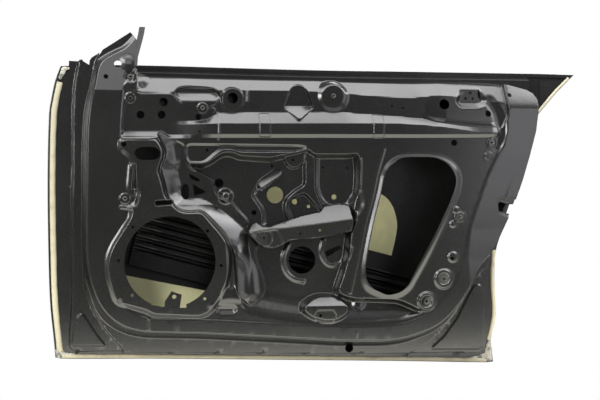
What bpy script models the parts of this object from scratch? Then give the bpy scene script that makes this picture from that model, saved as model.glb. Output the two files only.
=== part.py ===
"""Right-hand front door shell of a two-door car with a frameless window, bare of its fittings.

Metres, +Z up. +X runs to the car's rear, -Y faces the cabin. The hem plane, where the outer panel
is folded round the inner panel, stands at Y = 0, and a level is a height above it, to the cabin.
Outlines are traced in picture pixels and placed on the level at which they stand.
"""
import math

import bmesh
import bpy
import numpy as np
from mathutils import Vector
from mathutils.geometry import delaunay_2d_cdt

# The picture that the outlines were traced in: one pixel at the hem plane, the distance that it
# was taken from, how far the view is turned towards the hinge side, and the picture's middle.
PIXEL = 0.0023
VIEW_DISTANCE = 2.5
VIEW_TURN = math.radians(12)
MIDDLE_PX = (300, 200)

# Sheets and the clearance between pieces that touch.
GAP = 0.0003
PANEL_SHEET = 0.0012
SKIN_SHEET = 0.0009
PLATE_SHEET = 0.0015
BEAM_SHEET = 0.0018

# Levels of the inner panel's tiers.
STRIP_LEVEL = 0.032
SEAL_LEVEL = 0.050
TRIM_LEVEL = 0.086
REAR_CREST_LEVEL = 0.077
ZONE_LEVEL = 0.083
SPEAKER_LEVEL = 0.092
PLATE_LEVEL = 0.075
SHELF_LEVEL = 0.090
BELT_TOP_LEVEL = 0.050
BELT_FACE_LEVEL = 0.073
BELT_END_RISE = 0.011
BAR_LEVEL = 0.096
RECESS_LEVEL = 0.060
STEP_LEVEL = 0.077
LIP_LEVEL = 0.090
CONE_LEVEL = 0.064
CONE_RISE = 0.028
POCKET_LEVEL = 0.061
OVAL_LEVEL = 0.066
OVAL_RISE = 0.024
BOSS_LEVEL = 0.079
TAB_LEVEL = 0.070
SAIL_LEAN = 0.24
LEDGE_ROLL = 0.12
CORNER_ROLL = 0.55

# Widths of the pressed walls, seen face on, and the radii of their lines.
STRIP_WALL = 0.0035
REAR_WALL = 0.0080
SEAL_WALL = 0.0040
TRIM_WALL = 0.0140
FINE_WALL = 0.0040
SPEAKER_WALL = 0.0060
BAR_WALL = 0.0070
SHELF_WALL = 0.0120
RECESS_WALL = 0.0090
LIP_WALL = 0.0180
LONG_RADIUS = 0.030
MEDIUM_RADIUS = 0.015
SMALL_RADIUS = 0.006

# The outer panel: its crown over the hem plane, how fast it rises from each edge, how much it
# leans in towards the belt, and the hem's width.
SKIN_CROWN = 0.044
FRONT_RUN = 0.22
REAR_RUN = 0.26
BOTTOM_RUN = 0.32
BELT_LEAN_SHARE = 0.28
BELT_LEAN_RUN = 0.30
HEM_WIDTH = 0.0090
HEM_ROUND = 0.0006
FACE_START = 0.004

# Belt rails: width of the flange in the hem, depth and height of the channel below it.
RAIL_FLANGE = 0.011
RAIL_DEPTH = 0.010
RAIL_HEIGHT = 0.046
RAIL_LIP = 0.012
RAIL_BEND = 0.006
RAIL_FOOT = 0.003

# The corrugated beam, its level, and the straps at its ends.
BEAM_RIBS = 5
BEAM_RIB_PITCH = 0.0207
BEAM_RIB_DEPTH = 0.012
BEAM_FRONT_LEVEL = -0.014
BEAM_REAR_LEVEL = 0.004
BEAM_FOOT = 0.030
rib_shares = ((0, 0), (0.12, 0), (0.38, 1), (0.62, 1), (0.88, 0))
STRAP_WIDTH = 0.100
STRAP_LAP = 0.040
STRAP_OVERHANG = 0.010
STRAP_SEAT = 0.016
STRAP_SEAT_WIDTH = 0.056

# Weld nuts and the holes before them.
NUT_FLATS = 0.0130
NUT_BORE = 0.0062
NUT_HEIGHT = 0.0060
NUT_PAD = 0.0090
NUT_HOLE = 0.0070

# Sealant beads on the hem, and pads on the outer panel.
BEAD_WIDTH = 0.0140
BEAD_START = 0.0045
BEAD_HEIGHT = 0.0022
EDGE_BEAD_START = 0.0012
EDGE_BEAD_WIDTH = 0.0092
TIP_BEAD_WIDTH = 0.0062
TIP_BEAD_SHARE = 0.75
BEAD_SLOPE_SHARES = (0.25, 0.67, 0.92)
PAD_THICKNESS = 0.0025

# Sides of round holes, and the radius in pixels up to which a hole counts as small.
ROUND_SIDES = 20
SMALL_ROUND_SIDES = 8
SMALL_HOLE_PX = 6

# Grids that fill the faces between the traced lines.
PANEL_GRID = 0.050
SKIN_GRID = 0.070
FILL_SHARE = 0.4
MERGE = 0.0006

# Outer panel, seen from the cabin: the hemmed edge from the top front corner down, along the
# bottom and up to the rear tip, then the belt.
skin_front_px = [
    (60.7, 66), (55, 81), (51, 100), (49, 113), (47.6, 171), (48, 230), (50, 301), (54, 342),
]
skin_bottom_px = [
    (55.3, 357.5), (62, 358.7), (150, 358.7), (300, 360), (400, 361), (486, 362.3), (493, 361.5),
]
skin_rear_px = [
    (490.5, 340), (496, 314), (494.3, 276), (496, 250), (500, 236), (507, 211), (516, 187), (525.5, 158),
    (532.5, 133), (538.5, 114), (556, 93), (573.7, 75),
]
skin_belt_px = [
    (545, 74), (518, 73.5), (460, 72.5), (400, 71.5), (330, 70.5), (280, 69.3), (220, 67.5), (160, 65.7),
    (120, 65), (90, 65),
]

# Inner panel, free edges: the top rear corner, the belt, the sail and the top front corner.
free_rear_px = [(538.3, 98), (535.5, 93), (530, 89.5), (518, 86)]
free_belt_px = [
    (505, 85), (482, 83), (420, 81.7), (350, 80.7), (320, 79.5), (260, 78.5), (200, 77), (148, 75.5),
    (140, 74), (134, 68), (134, 57), (137, 41),
]
free_sail_px = [(134, 34), (131, 30.5), (92, 55), (90, 58), (89.5, 62.5)]
free_front_px = [(83, 63), (82, 61.3), (69, 60.8), (68.5, 71)]
hem_start_px = [(58.8, 71)]
latch_notch_px = [
    (518.6, 204.5), (507.5, 204.5), (505.5, 208), (506.3, 210.8), (510, 214), (514.8, 214),
]

# The foot of the shut wall all round: crown of the wall at the front, the bottom and the rear.
wall_front_px = [(92, 10), (77.5, 70), (75, 85), (73.8, 110), (72.4, 310), (70.5, 332), (70.5, 351)]
wall_bottom_px = [(300, 352.5), (483, 352.5), (483, 330), (484, 310), (487.3, 280)]
wall_rear_px = [
    (490, 255), (498.5, 239.5), (510.5, 214), (514.5, 204), (523, 180), (530, 155), (536, 131), (538.3, 113),
    (539, 96), (552, 10),
]
seal_px = [
    (94, 76), (90, 95), (87, 113), (84.8, 170), (84.2, 250), (85, 280), (88, 297), (95, 313), (106, 330),
    (118, 343), (132, 358), (300, 358), (400, 358), (406, 354), (420, 347.5), (434, 338), (445, 326),
    (455, 314), (470, 289), (478, 274), (494, 262), (530, 250), (580, 200), (580, 40), (140, 40), (140, 20),
    (110, 40), (97, 58),
]
trim_px = [
    (98, 75), (95.5, 89), (92, 100), (89.8, 116), (88.3, 140), (87.8, 230), (88.4, 261), (92.5, 285),
    (101, 305), (112, 318), (127, 327), (145, 331), (200, 332), (280, 336), (342, 339.5), (387, 339.5),
    (405, 337), (420, 332), (433, 327), (445, 319), (460, 302), (470, 286), (479, 266), (492, 252),
    (530, 240), (580, 190), (580, 40), (150, 40), (150, 20), (134, 41), (127, 48), (113, 54.5), (104, 60),
    (100, 66),
]

# The inner zone and the forms in it.
zone_px = [
    (122, 93), (122, 85), (140, 60), (500, 60), (503, 90), (503, 100), (506.5, 112), (508.3, 128), (507, 140),
    (501, 151), (494, 164), (487, 180), (480, 200), (474.5, 215), (470, 230), (466, 258), (459, 278),
    (449, 295), (433, 311.5), (420, 319), (405, 324.3), (387, 327), (351, 328), (300, 326), (211, 321),
    (152, 320), (140, 318), (120, 306), (108, 285), (104, 262), (109, 246), (118, 232), (128, 215),
    (134, 200), (134, 165), (128, 156), (120, 148), (119, 136), (120, 110),
]
belt_px = [
    (140, 40), (137, 70), (137, 86), (138, 98), (168, 98), (178, 112), (205, 112), (206, 123), (440, 124),
    (500, 130), (507, 115), (506, 95), (506, 50),
]
plate_px = [
    (126, 105), (134, 90), (140, 93.5), (172, 93.5), (180, 103), (216, 108), (211, 120), (209, 133),
    (161, 133), (128, 133), (122, 132), (122.5, 118),
]
shelf_px = [(121, 139), (121, 134), (127, 131), (161, 131), (163, 133), (157, 138), (147, 140)]
bar_px = [
    (209, 121), (220, 111), (290, 110.5), (345, 110.5), (400, 115), (425, 117.5), (437, 121.5), (470, 126),
    (497, 126.5), (498, 133.5), (440, 133.8), (209, 133.5),
]
speaker_face_px = [
    (146, 139), (121.5, 139), (120, 148), (128, 154), (134, 163), (136, 186), (140, 194), (137, 203),
    (132, 208), (131, 217), (121, 233), (112, 247), (107.5, 260), (108, 275), (112, 290), (116, 303),
    (131, 306.5), (147, 311), (154, 315), (200, 317), (211, 312), (220, 297), (228, 280), (231, 262),
    (229, 246), (221, 234), (211, 223), (202, 212), (190, 213), (180, 212), (173, 206), (165, 197),
    (163, 188), (160, 178), (157.5, 170), (160, 163), (163, 155), (162, 148), (158, 142), (155, 139),
]
bone_left_px = [
    (158, 134), (161, 142), (165, 148), (166, 155), (163, 163), (160.5, 170), (163, 178), (166, 188),
    (167.5, 196), (172, 203), (177, 208.5), (184, 211.5), (192, 212), (202, 210.5), (212, 221), (222, 232),
    (230, 243), (235, 255), (236, 271), (238, 296),
]
bone_right_px = [
    (252, 308), (262, 300), (268, 291), (265, 278), (259, 262), (257, 252), (261, 245), (254, 237),
    (247, 231), (251, 221), (240, 210), (234, 202), (227, 200), (218, 196), (216, 186), (213.5, 178),
    (203, 172), (192, 169), (188, 163), (186, 156), (185.5, 144), (172, 139), (162, 131),
]
step_px = [
    (186, 143.5), (300, 145), (307, 146.5), (305, 149), (299, 152), (240, 152), (233, 149), (222, 149),
    (215, 154), (207, 161), (202, 163), (190, 163), (186, 158),
]
recess_px = [
    (188, 163), (202, 164), (209, 162), (222, 152.5), (233, 152.5), (240, 156), (271, 158), (280, 155.5),
    (295, 154), (304, 150), (309, 149.5), (314, 154.5), (350, 154.5), (358, 153), (360, 170), (359, 195),
    (356, 220), (351, 233), (348, 260), (342, 280), (337, 293), (350, 298), (400, 300), (425, 312),
    (400, 322), (351, 325), (300, 323), (250, 318), (240, 308), (240, 296), (250, 270), (250, 255),
    (245, 235), (235, 215), (222, 205), (210, 190), (205, 180), (195, 172),
]
hole_boss_px = [
    (221.5, 97), (227, 88.5), (232, 87), (238, 88.5), (244.5, 99), (238, 111), (232, 113), (226, 111),
]
cone_px = [(290, 90), (293, 86), (302, 84.5), (306, 88), (310, 99), (313, 108), (298, 121), (284, 108)]
pocket_px = [(461, 86.5), (480, 86.5), (487, 100), (485, 106), (478, 108.5), (459, 108.5), (454.5, 101)]
hinge_tab_px = [(283, 156), (308, 151), (307, 158), (301, 166), (293, 169), (287, 165)]
oval_boss_px = [
    (299, 311), (301, 303), (310, 296), (320, 292), (336, 292), (346, 297), (352, 304), (353, 311),
    (348, 318), (338, 324), (324, 325), (310, 321), (303, 316),
]
lip_px = [
    (400, 152), (425, 151), (440, 153), (452, 158.5), (460, 167), (463.5, 178), (462, 190), (457, 204),
    (446, 228), (436, 249), (427, 266), (419, 280), (413, 291), (402, 299), (390, 301), (376, 298),
    (364, 292), (359, 281), (359, 267), (362, 248), (368, 219), (375, 193), (379, 171), (386, 160),
]

# Where the belt's shoulder, its face and the bar meet, and the foot of the recess: x, then y.
belt_edge_px = (
    (137, 148, 200, 260, 320, 350, 420, 482, 505),
    (75, 75.5, 77, 78.5, 79.5, 80.7, 81.7, 83, 85),
)
shoulder_px = (
    (137, 141, 170, 176, 185, 205, 250, 300, 350, 385, 405, 415, 440, 505),
    (89, 93, 93.5, 91, 89, 91, 91, 91, 95, 98, 99, 99, 96, 104),
)
bar_top_px = (
    (205, 209, 220, 290, 345, 400, 425, 437, 470, 497),
    (126, 121, 111.5, 111, 111, 115.5, 118, 122, 126.5, 127),
)
bar_front_px = ((209, 400, 440, 480, 497), (124, 124, 127, 133, 133))
recess_foot_px = ((240, 270, 300, 340, 380, 430), (285, 292, 297, 300, 300, 296))
ledge_edge_px = (
    (80, 100, 128, 151, 180, 200, 215, 230, 258, 278, 295),
    (512, 510, 509, 503, 489, 482, 477, 472, 469, 470, 470),
)

# Where the sail and the top rear corner begin to lean, and where the belt and the bar end: the
# line, and over how many pixels the change runs.
SAIL_LOW_PX = 90
SAIL_REAR_PX = 150
CORNER_LOW_PX = 109
CORNER_FRONT_PX = 500
LEAN_RUN_PX = 6
BELT_END_PX = 425
BELT_END_RUN_PX = 20
BELT_END_DEPTH_PX = 30
BORDER_RISE_PX = 28
CONE_FOOT_PX = 107
CONE_RISE_PX = 12
OVAL_TOP_PX = 292
OVAL_RISE_PX = 17
REAR_WALL_FRONT_PX = 480
REAR_WALL_LOW_PX = 262
REAR_WALL_RUN_PX = 8
shoulder_line_px = [(222, 91), (300, 91), (350, 95), (405, 99), (440, 96), (500, 103)]
bar_crest_px = [(212, 124), (400, 124), (440, 127), (480, 133)]
ledge_line_px = [(510, 100), (509, 128), (503, 151), (489, 180), (477, 215), (469, 258)]
bone_foot_px = [(178, 150), (181, 180), (196, 200), (228, 215), (246, 250), (252, 290)]
recess_foot_line_px = [(252, 288), (300, 297), (340, 300), (400, 299)]
oval_foot_px = [(303, 309), (350, 309)]
sail_line_px = [(92, 90), (132, 90)]

# Openings and holes in the inner panel.
SPEAKER_HOLE_PX = (170.3, 262, 45.5)
speaker_notch_top_px = [(153.5, 225), (153.5, 218.5), (188, 221), (188, 228)]
speaker_notch_low_px = [(151, 300), (151, 305), (175, 307.5), (186, 307.5), (186, 300)]
access_opening_px = [
    (408, 157), (432, 157), (440, 159), (448, 164), (453, 171), (456, 179), (455, 187), (450, 201),
    (440, 223), (430, 243), (421, 260), (413, 274.6), (408.6, 284.5), (400.5, 292.5), (389.8, 295),
    (372.9, 289), (366, 280), (365.3, 268), (368, 249.6), (374, 220), (379, 202), (383, 182), (386, 173),
    (392, 164), (400, 158),
]
grab_slot_px = [
    (134, 153), (137, 148), (153, 147), (159, 150), (160, 156), (154, 160), (141, 160), (135, 158),
]
bone_slot_px = [(189, 174), (201, 180), (198, 181.5), (191, 179)]
bone_triangle_px = [(193, 184), (207, 192), (195, 196)]
bone_oblong_px = [(181, 189), (184, 184), (188, 184), (189, 199), (185, 200), (181.5, 196)]
cable_slot_px = [(324.8, 251.5), (327, 257), (341.5, 249), (340, 245)]
round_holes_px = [
    (302, 260, 13.7, RECESS_LEVEL), (275, 195, 8.3, RECESS_LEVEL), (219, 183, 4.5, RECESS_LEVEL),
    (163.5, 102, 4.3, PLATE_LEVEL), (161.5, 114.7, 4, PLATE_LEVEL), (140.5, 114.7, 4, PLATE_LEVEL),
    (198.3, 117, 3, PLATE_LEVEL), (444, 104.5, 5.2, BELT_FACE_LEVEL), (487.7, 113.7, 3.3, BELT_FACE_LEVEL),
    (454.5, 142.7, 3.2, TRIM_LEVEL), (232.3, 98.3, 5.5, BELT_FACE_LEVEL), (123.5, 144.3, 2.7, TRIM_LEVEL),
    (117.8, 63.5, 3.8, BELT_FACE_LEVEL), (106, 76, 2.4, TRIM_LEVEL), (349.2, 348.2, 4.2, SEAL_LEVEL),
]

# Weld nuts: name, picture place, and the level of the pad that each is welded behind.
nuts_px = [
    ("sail_weld_nut", 130, 77, BELT_FACE_LEVEL),
    ("plate_weld_nut", 130, 98, PLATE_LEVEL),
    ("pillar_weld_nut", 125, 198.5, SPEAKER_LEVEL),
    ("speaker_weld_nut", 120, 300.4, TRIM_LEVEL),
    ("belt_weld_nut_mid", 333.5, 96, BOSS_LEVEL),
    ("belt_weld_nut_front", 202.5, 108, PLATE_LEVEL),
    ("latch_weld_nut_upper", 493, 142.5, SPEAKER_LEVEL),
    ("latch_weld_nut_mid", 460.5, 217, SPEAKER_LEVEL),
    ("handle_weld_nut_upper", 443.9, 278.8, TRIM_LEVEL),
    ("handle_weld_nut_lower", 427, 301.4, TRIM_LEVEL),
]

# Reinforcements that lie behind the panel's faces.
upper_hinge_px = [(76, 118), (83.5, 116), (82, 196), (75.5, 196)]
lower_hinge_px = [(75, 236), (81.5, 236), (82, 300), (75, 300)]
latch_plate_px = [
    (484, 196), (500, 170), (514, 176), (506, 201), (500, 201), (500, 217), (496, 230), (476, 228),
]
mirror_plate_px = [(101, 68), (112, 59), (121, 57), (122, 84), (102, 86)]

# Pads on the outer panel and its rear corner plate.
upper_pad_px = [
    (262, 180), (340, 182), (381, 194.5), (390, 202), (394, 210), (396.5, 220), (395, 238), (391, 255),
    (369, 250), (320, 238), (262, 212),
]
lower_pad_px = [(112, 272.5), (127, 275.4), (200, 289.2), (226, 295), (225, 326), (114, 318)]
dabs_px = {
    "sealant_dab_top_front": [(61.5, 70), (62.5, 67), (66, 66.8), (69, 68), (67, 70.5), (64, 71)],
    "sealant_dab_low_front": [(56.5, 357), (55.8, 350), (58, 346), (61, 347), (62, 352), (61, 357)],
    "sealant_dab_low_rear": [(489, 361.2), (487.5, 354), (488, 345), (490, 344.5), (491.5, 350), (491.5, 361)],
}
DAB_HEIGHT = 0.0022
dab_shares = ((0, 0), (0.25, 0.7), (0.5, 1))
corner_plate_px = [(541, 80), (563, 80.5), (552.5, 91), (545, 100), (541, 104.5)]

# The armrest bracket: x, y of the back edge, the fold and the lower edge, and the levels of the
# back edge and the fold.
ARMREST_SEAT_LEVEL = RECESS_LEVEL + GAP
ARMREST_TIP_LEVEL = 0.080
ARMREST_RISE_LEVEL = 0.090
ARMREST_FACE_LEVEL = 0.098
armrest_px = [
    (250, 229.5, 231.5, 234.5, ARMREST_TIP_LEVEL, ARMREST_TIP_LEVEL),
    (262, 226, 229.8, 240.5, ARMREST_SEAT_LEVEL, ARMREST_RISE_LEVEL),
    (270, 226, 229.5, 243, ARMREST_SEAT_LEVEL, ARMREST_FACE_LEVEL),
    (295, 217, 227.6, 240, ARMREST_SEAT_LEVEL, ARMREST_FACE_LEVEL),
    (323, 207, 224, 235.5, ARMREST_SEAT_LEVEL, ARMREST_FACE_LEVEL),
    (350, 206, 220, 231.5, ARMREST_SEAT_LEVEL, ARMREST_FACE_LEVEL),
]
ARMREST_LIP = 0.008
speaker_tab_px = [(171.6, 291.2), (181.8, 294.8), (179, 312), (164, 312), (165, 301.4)]
speaker_tab_hole_px = (174.2, 296.8, 2.2)

beam_front_px = (138, 229)
beam_rear_px = (425, 304)
strap_front_px = (79.5, 214)
strap_rear_px = (474, 320)
channel_px = [(140, 28), (138.6, 44), (132.5, 55), (131, 66)]
CHANNEL_SEAT = 0.0028
CHANNEL_WIDTH = 0.016
CHANNEL_DEPTH = 0.014
HINGE_UPPER_PX = 150

# Limits of the mitres and of the directions in which a sheet gets its thickness.
LEAST_SPREAD = 0.3
LEAST_LEAN = 0.6
LEAST_FACING = 0.2
SETTLE_ROUNDS = 40
STRAIGHT_TURN = math.radians(25)

# Angles in degrees under which neighbouring faces shade as one surface.
SHEET_SMOOTH = 30
NUT_SMOOTH = 40
BEAD_SMOOTH = 50

FOCAL_PX = VIEW_DISTANCE / PIXEL
SINE = math.sin(VIEW_TURN)
COSINE = math.cos(VIEW_TURN)


def place(points_px, level=0.0):
    """Picture points to x and z, on the plane that stands level in front of the hem plane."""
    points = np.asarray(points_px, float)
    u = (points[:, 0] - MIDDLE_PX[0]) / FOCAL_PX
    v = (MIDDLE_PX[1] - points[:, 1]) / FOCAL_PX
    x = (u * (VIEW_DISTANCE - COSINE * level) - SINE * level) / (COSINE - SINE * u)
    z = v * (VIEW_DISTANCE + SINE * x - COSINE * level)
    return np.stack([x, z], 1)


def seen(points, level=TRIM_LEVEL):
    """The picture point at which x and z show on a level."""
    depth = VIEW_DISTANCE + SINE * points[:, 0] - COSINE * level
    x_px = MIDDLE_PX[0] + FOCAL_PX * (COSINE * points[:, 0] + SINE * level) / depth
    z_px = MIDDLE_PX[1] - FOCAL_PX * points[:, 1] / depth
    return x_px, z_px


def eased(line, radius, closed=True):
    """The line with each corner cut off, no further than radius along its sides."""
    count = len(line)
    out = []
    for i, point in enumerate(line):
        if not closed and i in (0, count - 1):
            out.append(point)
            continue
        before = line[i - 1] - point
        after = line[(i + 1) % count] - point
        turn = np.cross(before, after) / (np.linalg.norm(before) * np.linalg.norm(after))
        if abs(turn) < math.sin(STRAIGHT_TURN):
            out.append(point)
            continue
        for side in (before, after):
            length = np.linalg.norm(side)
            out.append(point + side * min(radius, length / 3) / length)
    return np.array(out)


def turning_left(line):
    x, z = line[:, 0], line[:, 1]
    area = np.sum(x * np.roll(z, -1) - np.roll(x, -1) * z)
    return line if area > 0 else line[::-1]


def inset(line, amount, closed=True):
    """The line moved to its left by amount, with mitred corners; amount may vary by point."""
    after = np.roll(line, -1, axis=0) - line
    before = line - np.roll(line, 1, axis=0)
    if not closed:
        after[-1] = before[-1]
        before[0] = after[0]
    normals = []
    for step in (before, after):
        unit = step / np.linalg.norm(step, axis=1, keepdims=True)
        normals.append(np.stack([-unit[:, 1], unit[:, 0]], 1))
    total = normals[0] + normals[1]
    spread = np.maximum(1 + (normals[0] * normals[1]).sum(1, keepdims=True), LEAST_SPREAD)
    return line + total / spread * np.reshape(amount, (-1, 1))


def distance(points, line, closed=True):
    """Distance of points to a line, and whether they lie inside it."""
    best = np.full(len(points), np.inf)
    inside = np.zeros(len(points), bool)
    x, z = points[:, 0], points[:, 1]
    last = len(line) if closed else len(line) - 1
    for i in range(last):
        ax, az = line[i]
        bx, bz = line[(i + 1) % len(line)]
        dx, dz = bx - ax, bz - az
        along = np.clip(((x - ax) * dx + (z - az) * dz) / (dx * dx + dz * dz), 0, 1)
        np.minimum(best, np.hypot(x - ax - along * dx, z - az - along * dz), out=best)
        if az != bz:
            inside ^= ((az > z) != (bz > z)) & (x < dx * (z - az) / dz + ax)
    return best, inside


def circle(centre, radius, count):
    turns = np.linspace(0, 2 * np.pi, count, endpoint=False)
    return np.stack([centre[0] + radius * np.cos(turns), centre[1] + radius * np.sin(turns)], 1)


def disc(x_px, y_px, radius_px, level, count):
    centre = place([(x_px, y_px)], level)[0]
    edge = place([(x_px, y_px + radius_px)], level)[0]
    return circle(centre, abs(edge[1] - centre[1]), count)


class Press:
    """A closed press line: inside it the sheet goes to a level, over a wall.

    lean -1 puts the wall outside the line, +1 inside it, 0 on both sides. traced is the level on
    which the line was drawn, where it isn't the form's own.
    """

    def __init__(self, points_px, level, wall, traced=None, radius=SMALL_RADIUS, lean=0):
        if traced is None:
            traced = TRIM_LEVEL if callable(level) else level
        line = place(points_px, traced)
        self.line = turning_left(eased(line, radius))
        self.level, self.wall, self.lean = level, wall, lean

    def apply(self, points, height):
        away, inside = distance(points, self.line)
        away = np.where(inside, away, -away)
        share = np.clip(away / self.wall + (1 - self.lean) / 2, 0, 1)
        level = self.level(points) if callable(self.level) else self.level
        height += share * (level - height)

    def rows(self):
        start = self.wall * (self.lean - 1) / 2
        return [(inset(self.line, start), True), (inset(self.line, start + self.wall), True)]


class Dome:
    """A round boss or dish with a flat pad at its own level."""

    def __init__(self, centre_px, pad, outer, level):
        self.centre = place([centre_px], level)[0]
        self.pad, self.outer, self.level = pad, outer, level

    def apply(self, points, height):
        away = np.hypot(*(points - self.centre).T)
        share = np.clip((self.outer - away) / (self.outer - self.pad), 0, 1)
        height += share * (self.level - height)

    def rows(self):
        return [(circle(self.centre, radius, SMALL_ROUND_SIDES), True) for radius in (self.pad, self.outer)]


def trim_level(points):
    """The trim face: the sail leans back, and the rear ledge rolls away behind its crest."""
    x, y = seen(points)
    roll = np.clip(x - np.interp(y, *ledge_edge_px), 0, None) * PIXEL * LEDGE_ROLL
    sail = np.clip(SAIL_LOW_PX - y, 0, None) * PIXEL * SAIL_LEAN
    sail *= np.clip((SAIL_REAR_PX - x) / LEAN_RUN_PX, 0, 1)
    corner = np.clip(CORNER_LOW_PX - y, 0, None) * PIXEL * CORNER_ROLL
    corner *= np.clip((x - CORNER_FRONT_PX) / LEAN_RUN_PX, 0, 1)
    return TRIM_LEVEL - roll - sail - corner


def belt_end_rise(x_px):
    return BELT_END_RISE * np.clip((x_px - BELT_END_PX) / BELT_END_RUN_PX, 0, 1)


def belt_level(points):
    """The belt: a shoulder that rises from its upper edge to an upright face, tilted at its rear end."""
    x, y = seen(points, BELT_FACE_LEVEL)
    top, low = np.interp(x, *belt_edge_px), np.interp(x, *shoulder_px)
    shoulder = (BELT_FACE_LEVEL - BELT_TOP_LEVEL) * np.clip((y - top) / (low - top), 0, 1)
    rear = belt_end_rise(x) * np.clip((y - low) / BELT_END_DEPTH_PX, 0, 1)
    return BELT_TOP_LEVEL + shoulder + rear


def bar_level(points):
    x, y = seen(points)
    top, front = np.interp(x, *bar_top_px), np.interp(x, *bar_front_px)
    base = BELT_FACE_LEVEL + belt_end_rise(x)
    return base + (BAR_LEVEL - base) * np.clip((y - top) / (front - top), 0, 1)


bone_edge = eased(place(bone_left_px, SPEAKER_LEVEL), MEDIUM_RADIUS, False)
bone_run_shares = ((135, 165, 185, 205, 230, 300), (0.40, 0.42, 0.42, 0.23, 0.35, 0.38))
bone_drop_shares = ((135, 165, 200, 240, 300), (0.37, 0.62, 0.87, 0.69, 0.50))
BONE_RUN = 0.130


def bone_level(points):
    """The slope from the speaker face down into the recess."""
    away, _ = distance(points, bone_edge, False)
    _, y = seen(points)
    run = BONE_RUN * np.interp(y, *bone_run_shares)
    drop = (SPEAKER_LEVEL - RECESS_LEVEL) * np.interp(y, *bone_drop_shares)
    return SPEAKER_LEVEL - drop * np.clip(away / run, 0, 1)


def recess_level(points):
    x, y = seen(points)
    foot = np.interp(x, *recess_foot_px)
    return RECESS_LEVEL + (ZONE_LEVEL - RECESS_LEVEL) * np.clip((y - foot) / BORDER_RISE_PX, 0, 1)


def cone_level(points):
    _, y = seen(points)
    return CONE_LEVEL + CONE_RISE * np.clip((y - CONE_FOOT_PX) / CONE_RISE_PX, 0, 1)


def oval_level(points):
    _, y = seen(points)
    return OVAL_LEVEL + OVAL_RISE * np.clip((y - OVAL_TOP_PX) / OVAL_RISE_PX, 0, 1)


FORMS = [
    Press(seal_px, SEAL_LEVEL, SEAL_WALL, radius=LONG_RADIUS, lean=-1),
    Press(trim_px, trim_level, TRIM_WALL, radius=LONG_RADIUS, lean=-1),
    Press(zone_px, ZONE_LEVEL, FINE_WALL, TRIM_LEVEL, LONG_RADIUS, 1),
    Press(belt_px, belt_level, FINE_WALL, BELT_FACE_LEVEL),
    Press(plate_px, PLATE_LEVEL, FINE_WALL),
    Press(shelf_px, SHELF_LEVEL, SHELF_WALL, ZONE_LEVEL, lean=1),
    Press(bar_px, bar_level, BAR_WALL, lean=-1),
    Press(speaker_face_px, SPEAKER_LEVEL, SPEAKER_WALL, radius=MEDIUM_RADIUS, lean=-1),
    Press(step_px, STEP_LEVEL, FINE_WALL, ZONE_LEVEL, lean=1),
    Press(recess_px, recess_level, RECESS_WALL, STEP_LEVEL, MEDIUM_RADIUS, 1),
    Press(bone_left_px + bone_right_px, bone_level, FINE_WALL, radius=MEDIUM_RADIUS),
    Press(hole_boss_px, BOSS_LEVEL, FINE_WALL, radius=MEDIUM_RADIUS),
    Press(cone_px, cone_level, FINE_WALL, BELT_FACE_LEVEL),
    Press(pocket_px, POCKET_LEVEL, SHELF_WALL, lean=1),
    Press(hinge_tab_px, TAB_LEVEL, FINE_WALL),
    Press(oval_boss_px, oval_level, RECESS_WALL, radius=MEDIUM_RADIUS, lean=1),
    Press(lip_px, LIP_LEVEL, LIP_WALL, TRIM_LEVEL, LONG_RADIUS, 1),
] + [Dome((x, y), NUT_PAD, NUT_PAD + FINE_WALL, level) for _, x, y, level in nuts_px]

wall_line = turning_left(np.concatenate([
    eased(place(wall_front_px + wall_bottom_px, STRIP_LEVEL), SMALL_RADIUS, False),
    place(wall_rear_px, REAR_CREST_LEVEL),
]))


def wall_width(points):
    """The shut wall is drafted by its height, which grows up the rear edge."""
    x, y = seen(points, STRIP_LEVEL)
    rear = np.clip((x - REAR_WALL_FRONT_PX) / REAR_WALL_RUN_PX, 0, 1)
    rear *= np.clip((REAR_WALL_LOW_PX - y) / REAR_WALL_RUN_PX, 0, 1)
    return STRIP_WALL + (REAR_WALL - STRIP_WALL) * rear


def panel_level(points):
    """The level of the inner panel's cabin side."""
    height = np.full(len(points), STRIP_LEVEL)
    for form in FORMS:
        form.apply(points, height)
    away, inside = distance(points, wall_line)
    away = np.where(inside, 0, away)
    return height * np.clip(1 - away / wall_width(points), 0, 1)


def skin_lines():
    """The hemmed edges of the outer panel, in the hem plane."""
    front = place(skin_front_px + skin_bottom_px[:1])
    bottom = place(skin_bottom_px)
    rear = place(skin_bottom_px[-1:] + skin_rear_px)
    return front, bottom, rear


front_line, bottom_line, rear_line = skin_lines()
BELT_Z = place([(300, 70)])[0][1]


def skin_crown(points):
    """How far the hem's base lies outside the hem plane: nothing along the hem, most at mid door."""
    rise = np.ones(len(points))
    for line, run in ((front_line, FRONT_RUN), (bottom_line, BOTTOM_RUN), (rear_line, REAR_RUN)):
        away, _ = distance(points, line, False)
        rise *= 1 - (1 - np.clip(away / run, 0, 1)) ** 2
    lean = np.clip(1 - (BELT_Z - points[:, 1]) / BELT_LEAN_RUN, 0, 1)
    return SKIN_CROWN * rise * (1 - BELT_LEAN_SHARE * lean ** 2)


def skin_outline():
    """The outer panel's edge, with the belt placed as far out as the skin stands there."""
    belt = place(skin_belt_px)
    for _ in range(3):
        spots = [place([point_px], -out) for point_px, out in zip(skin_belt_px, skin_crown(belt))]
        belt = np.concatenate(spots)
    hem = np.concatenate([place(skin_front_px), bottom_line, rear_line[1:]])
    return turning_left(np.concatenate([hem, belt]))


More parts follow.
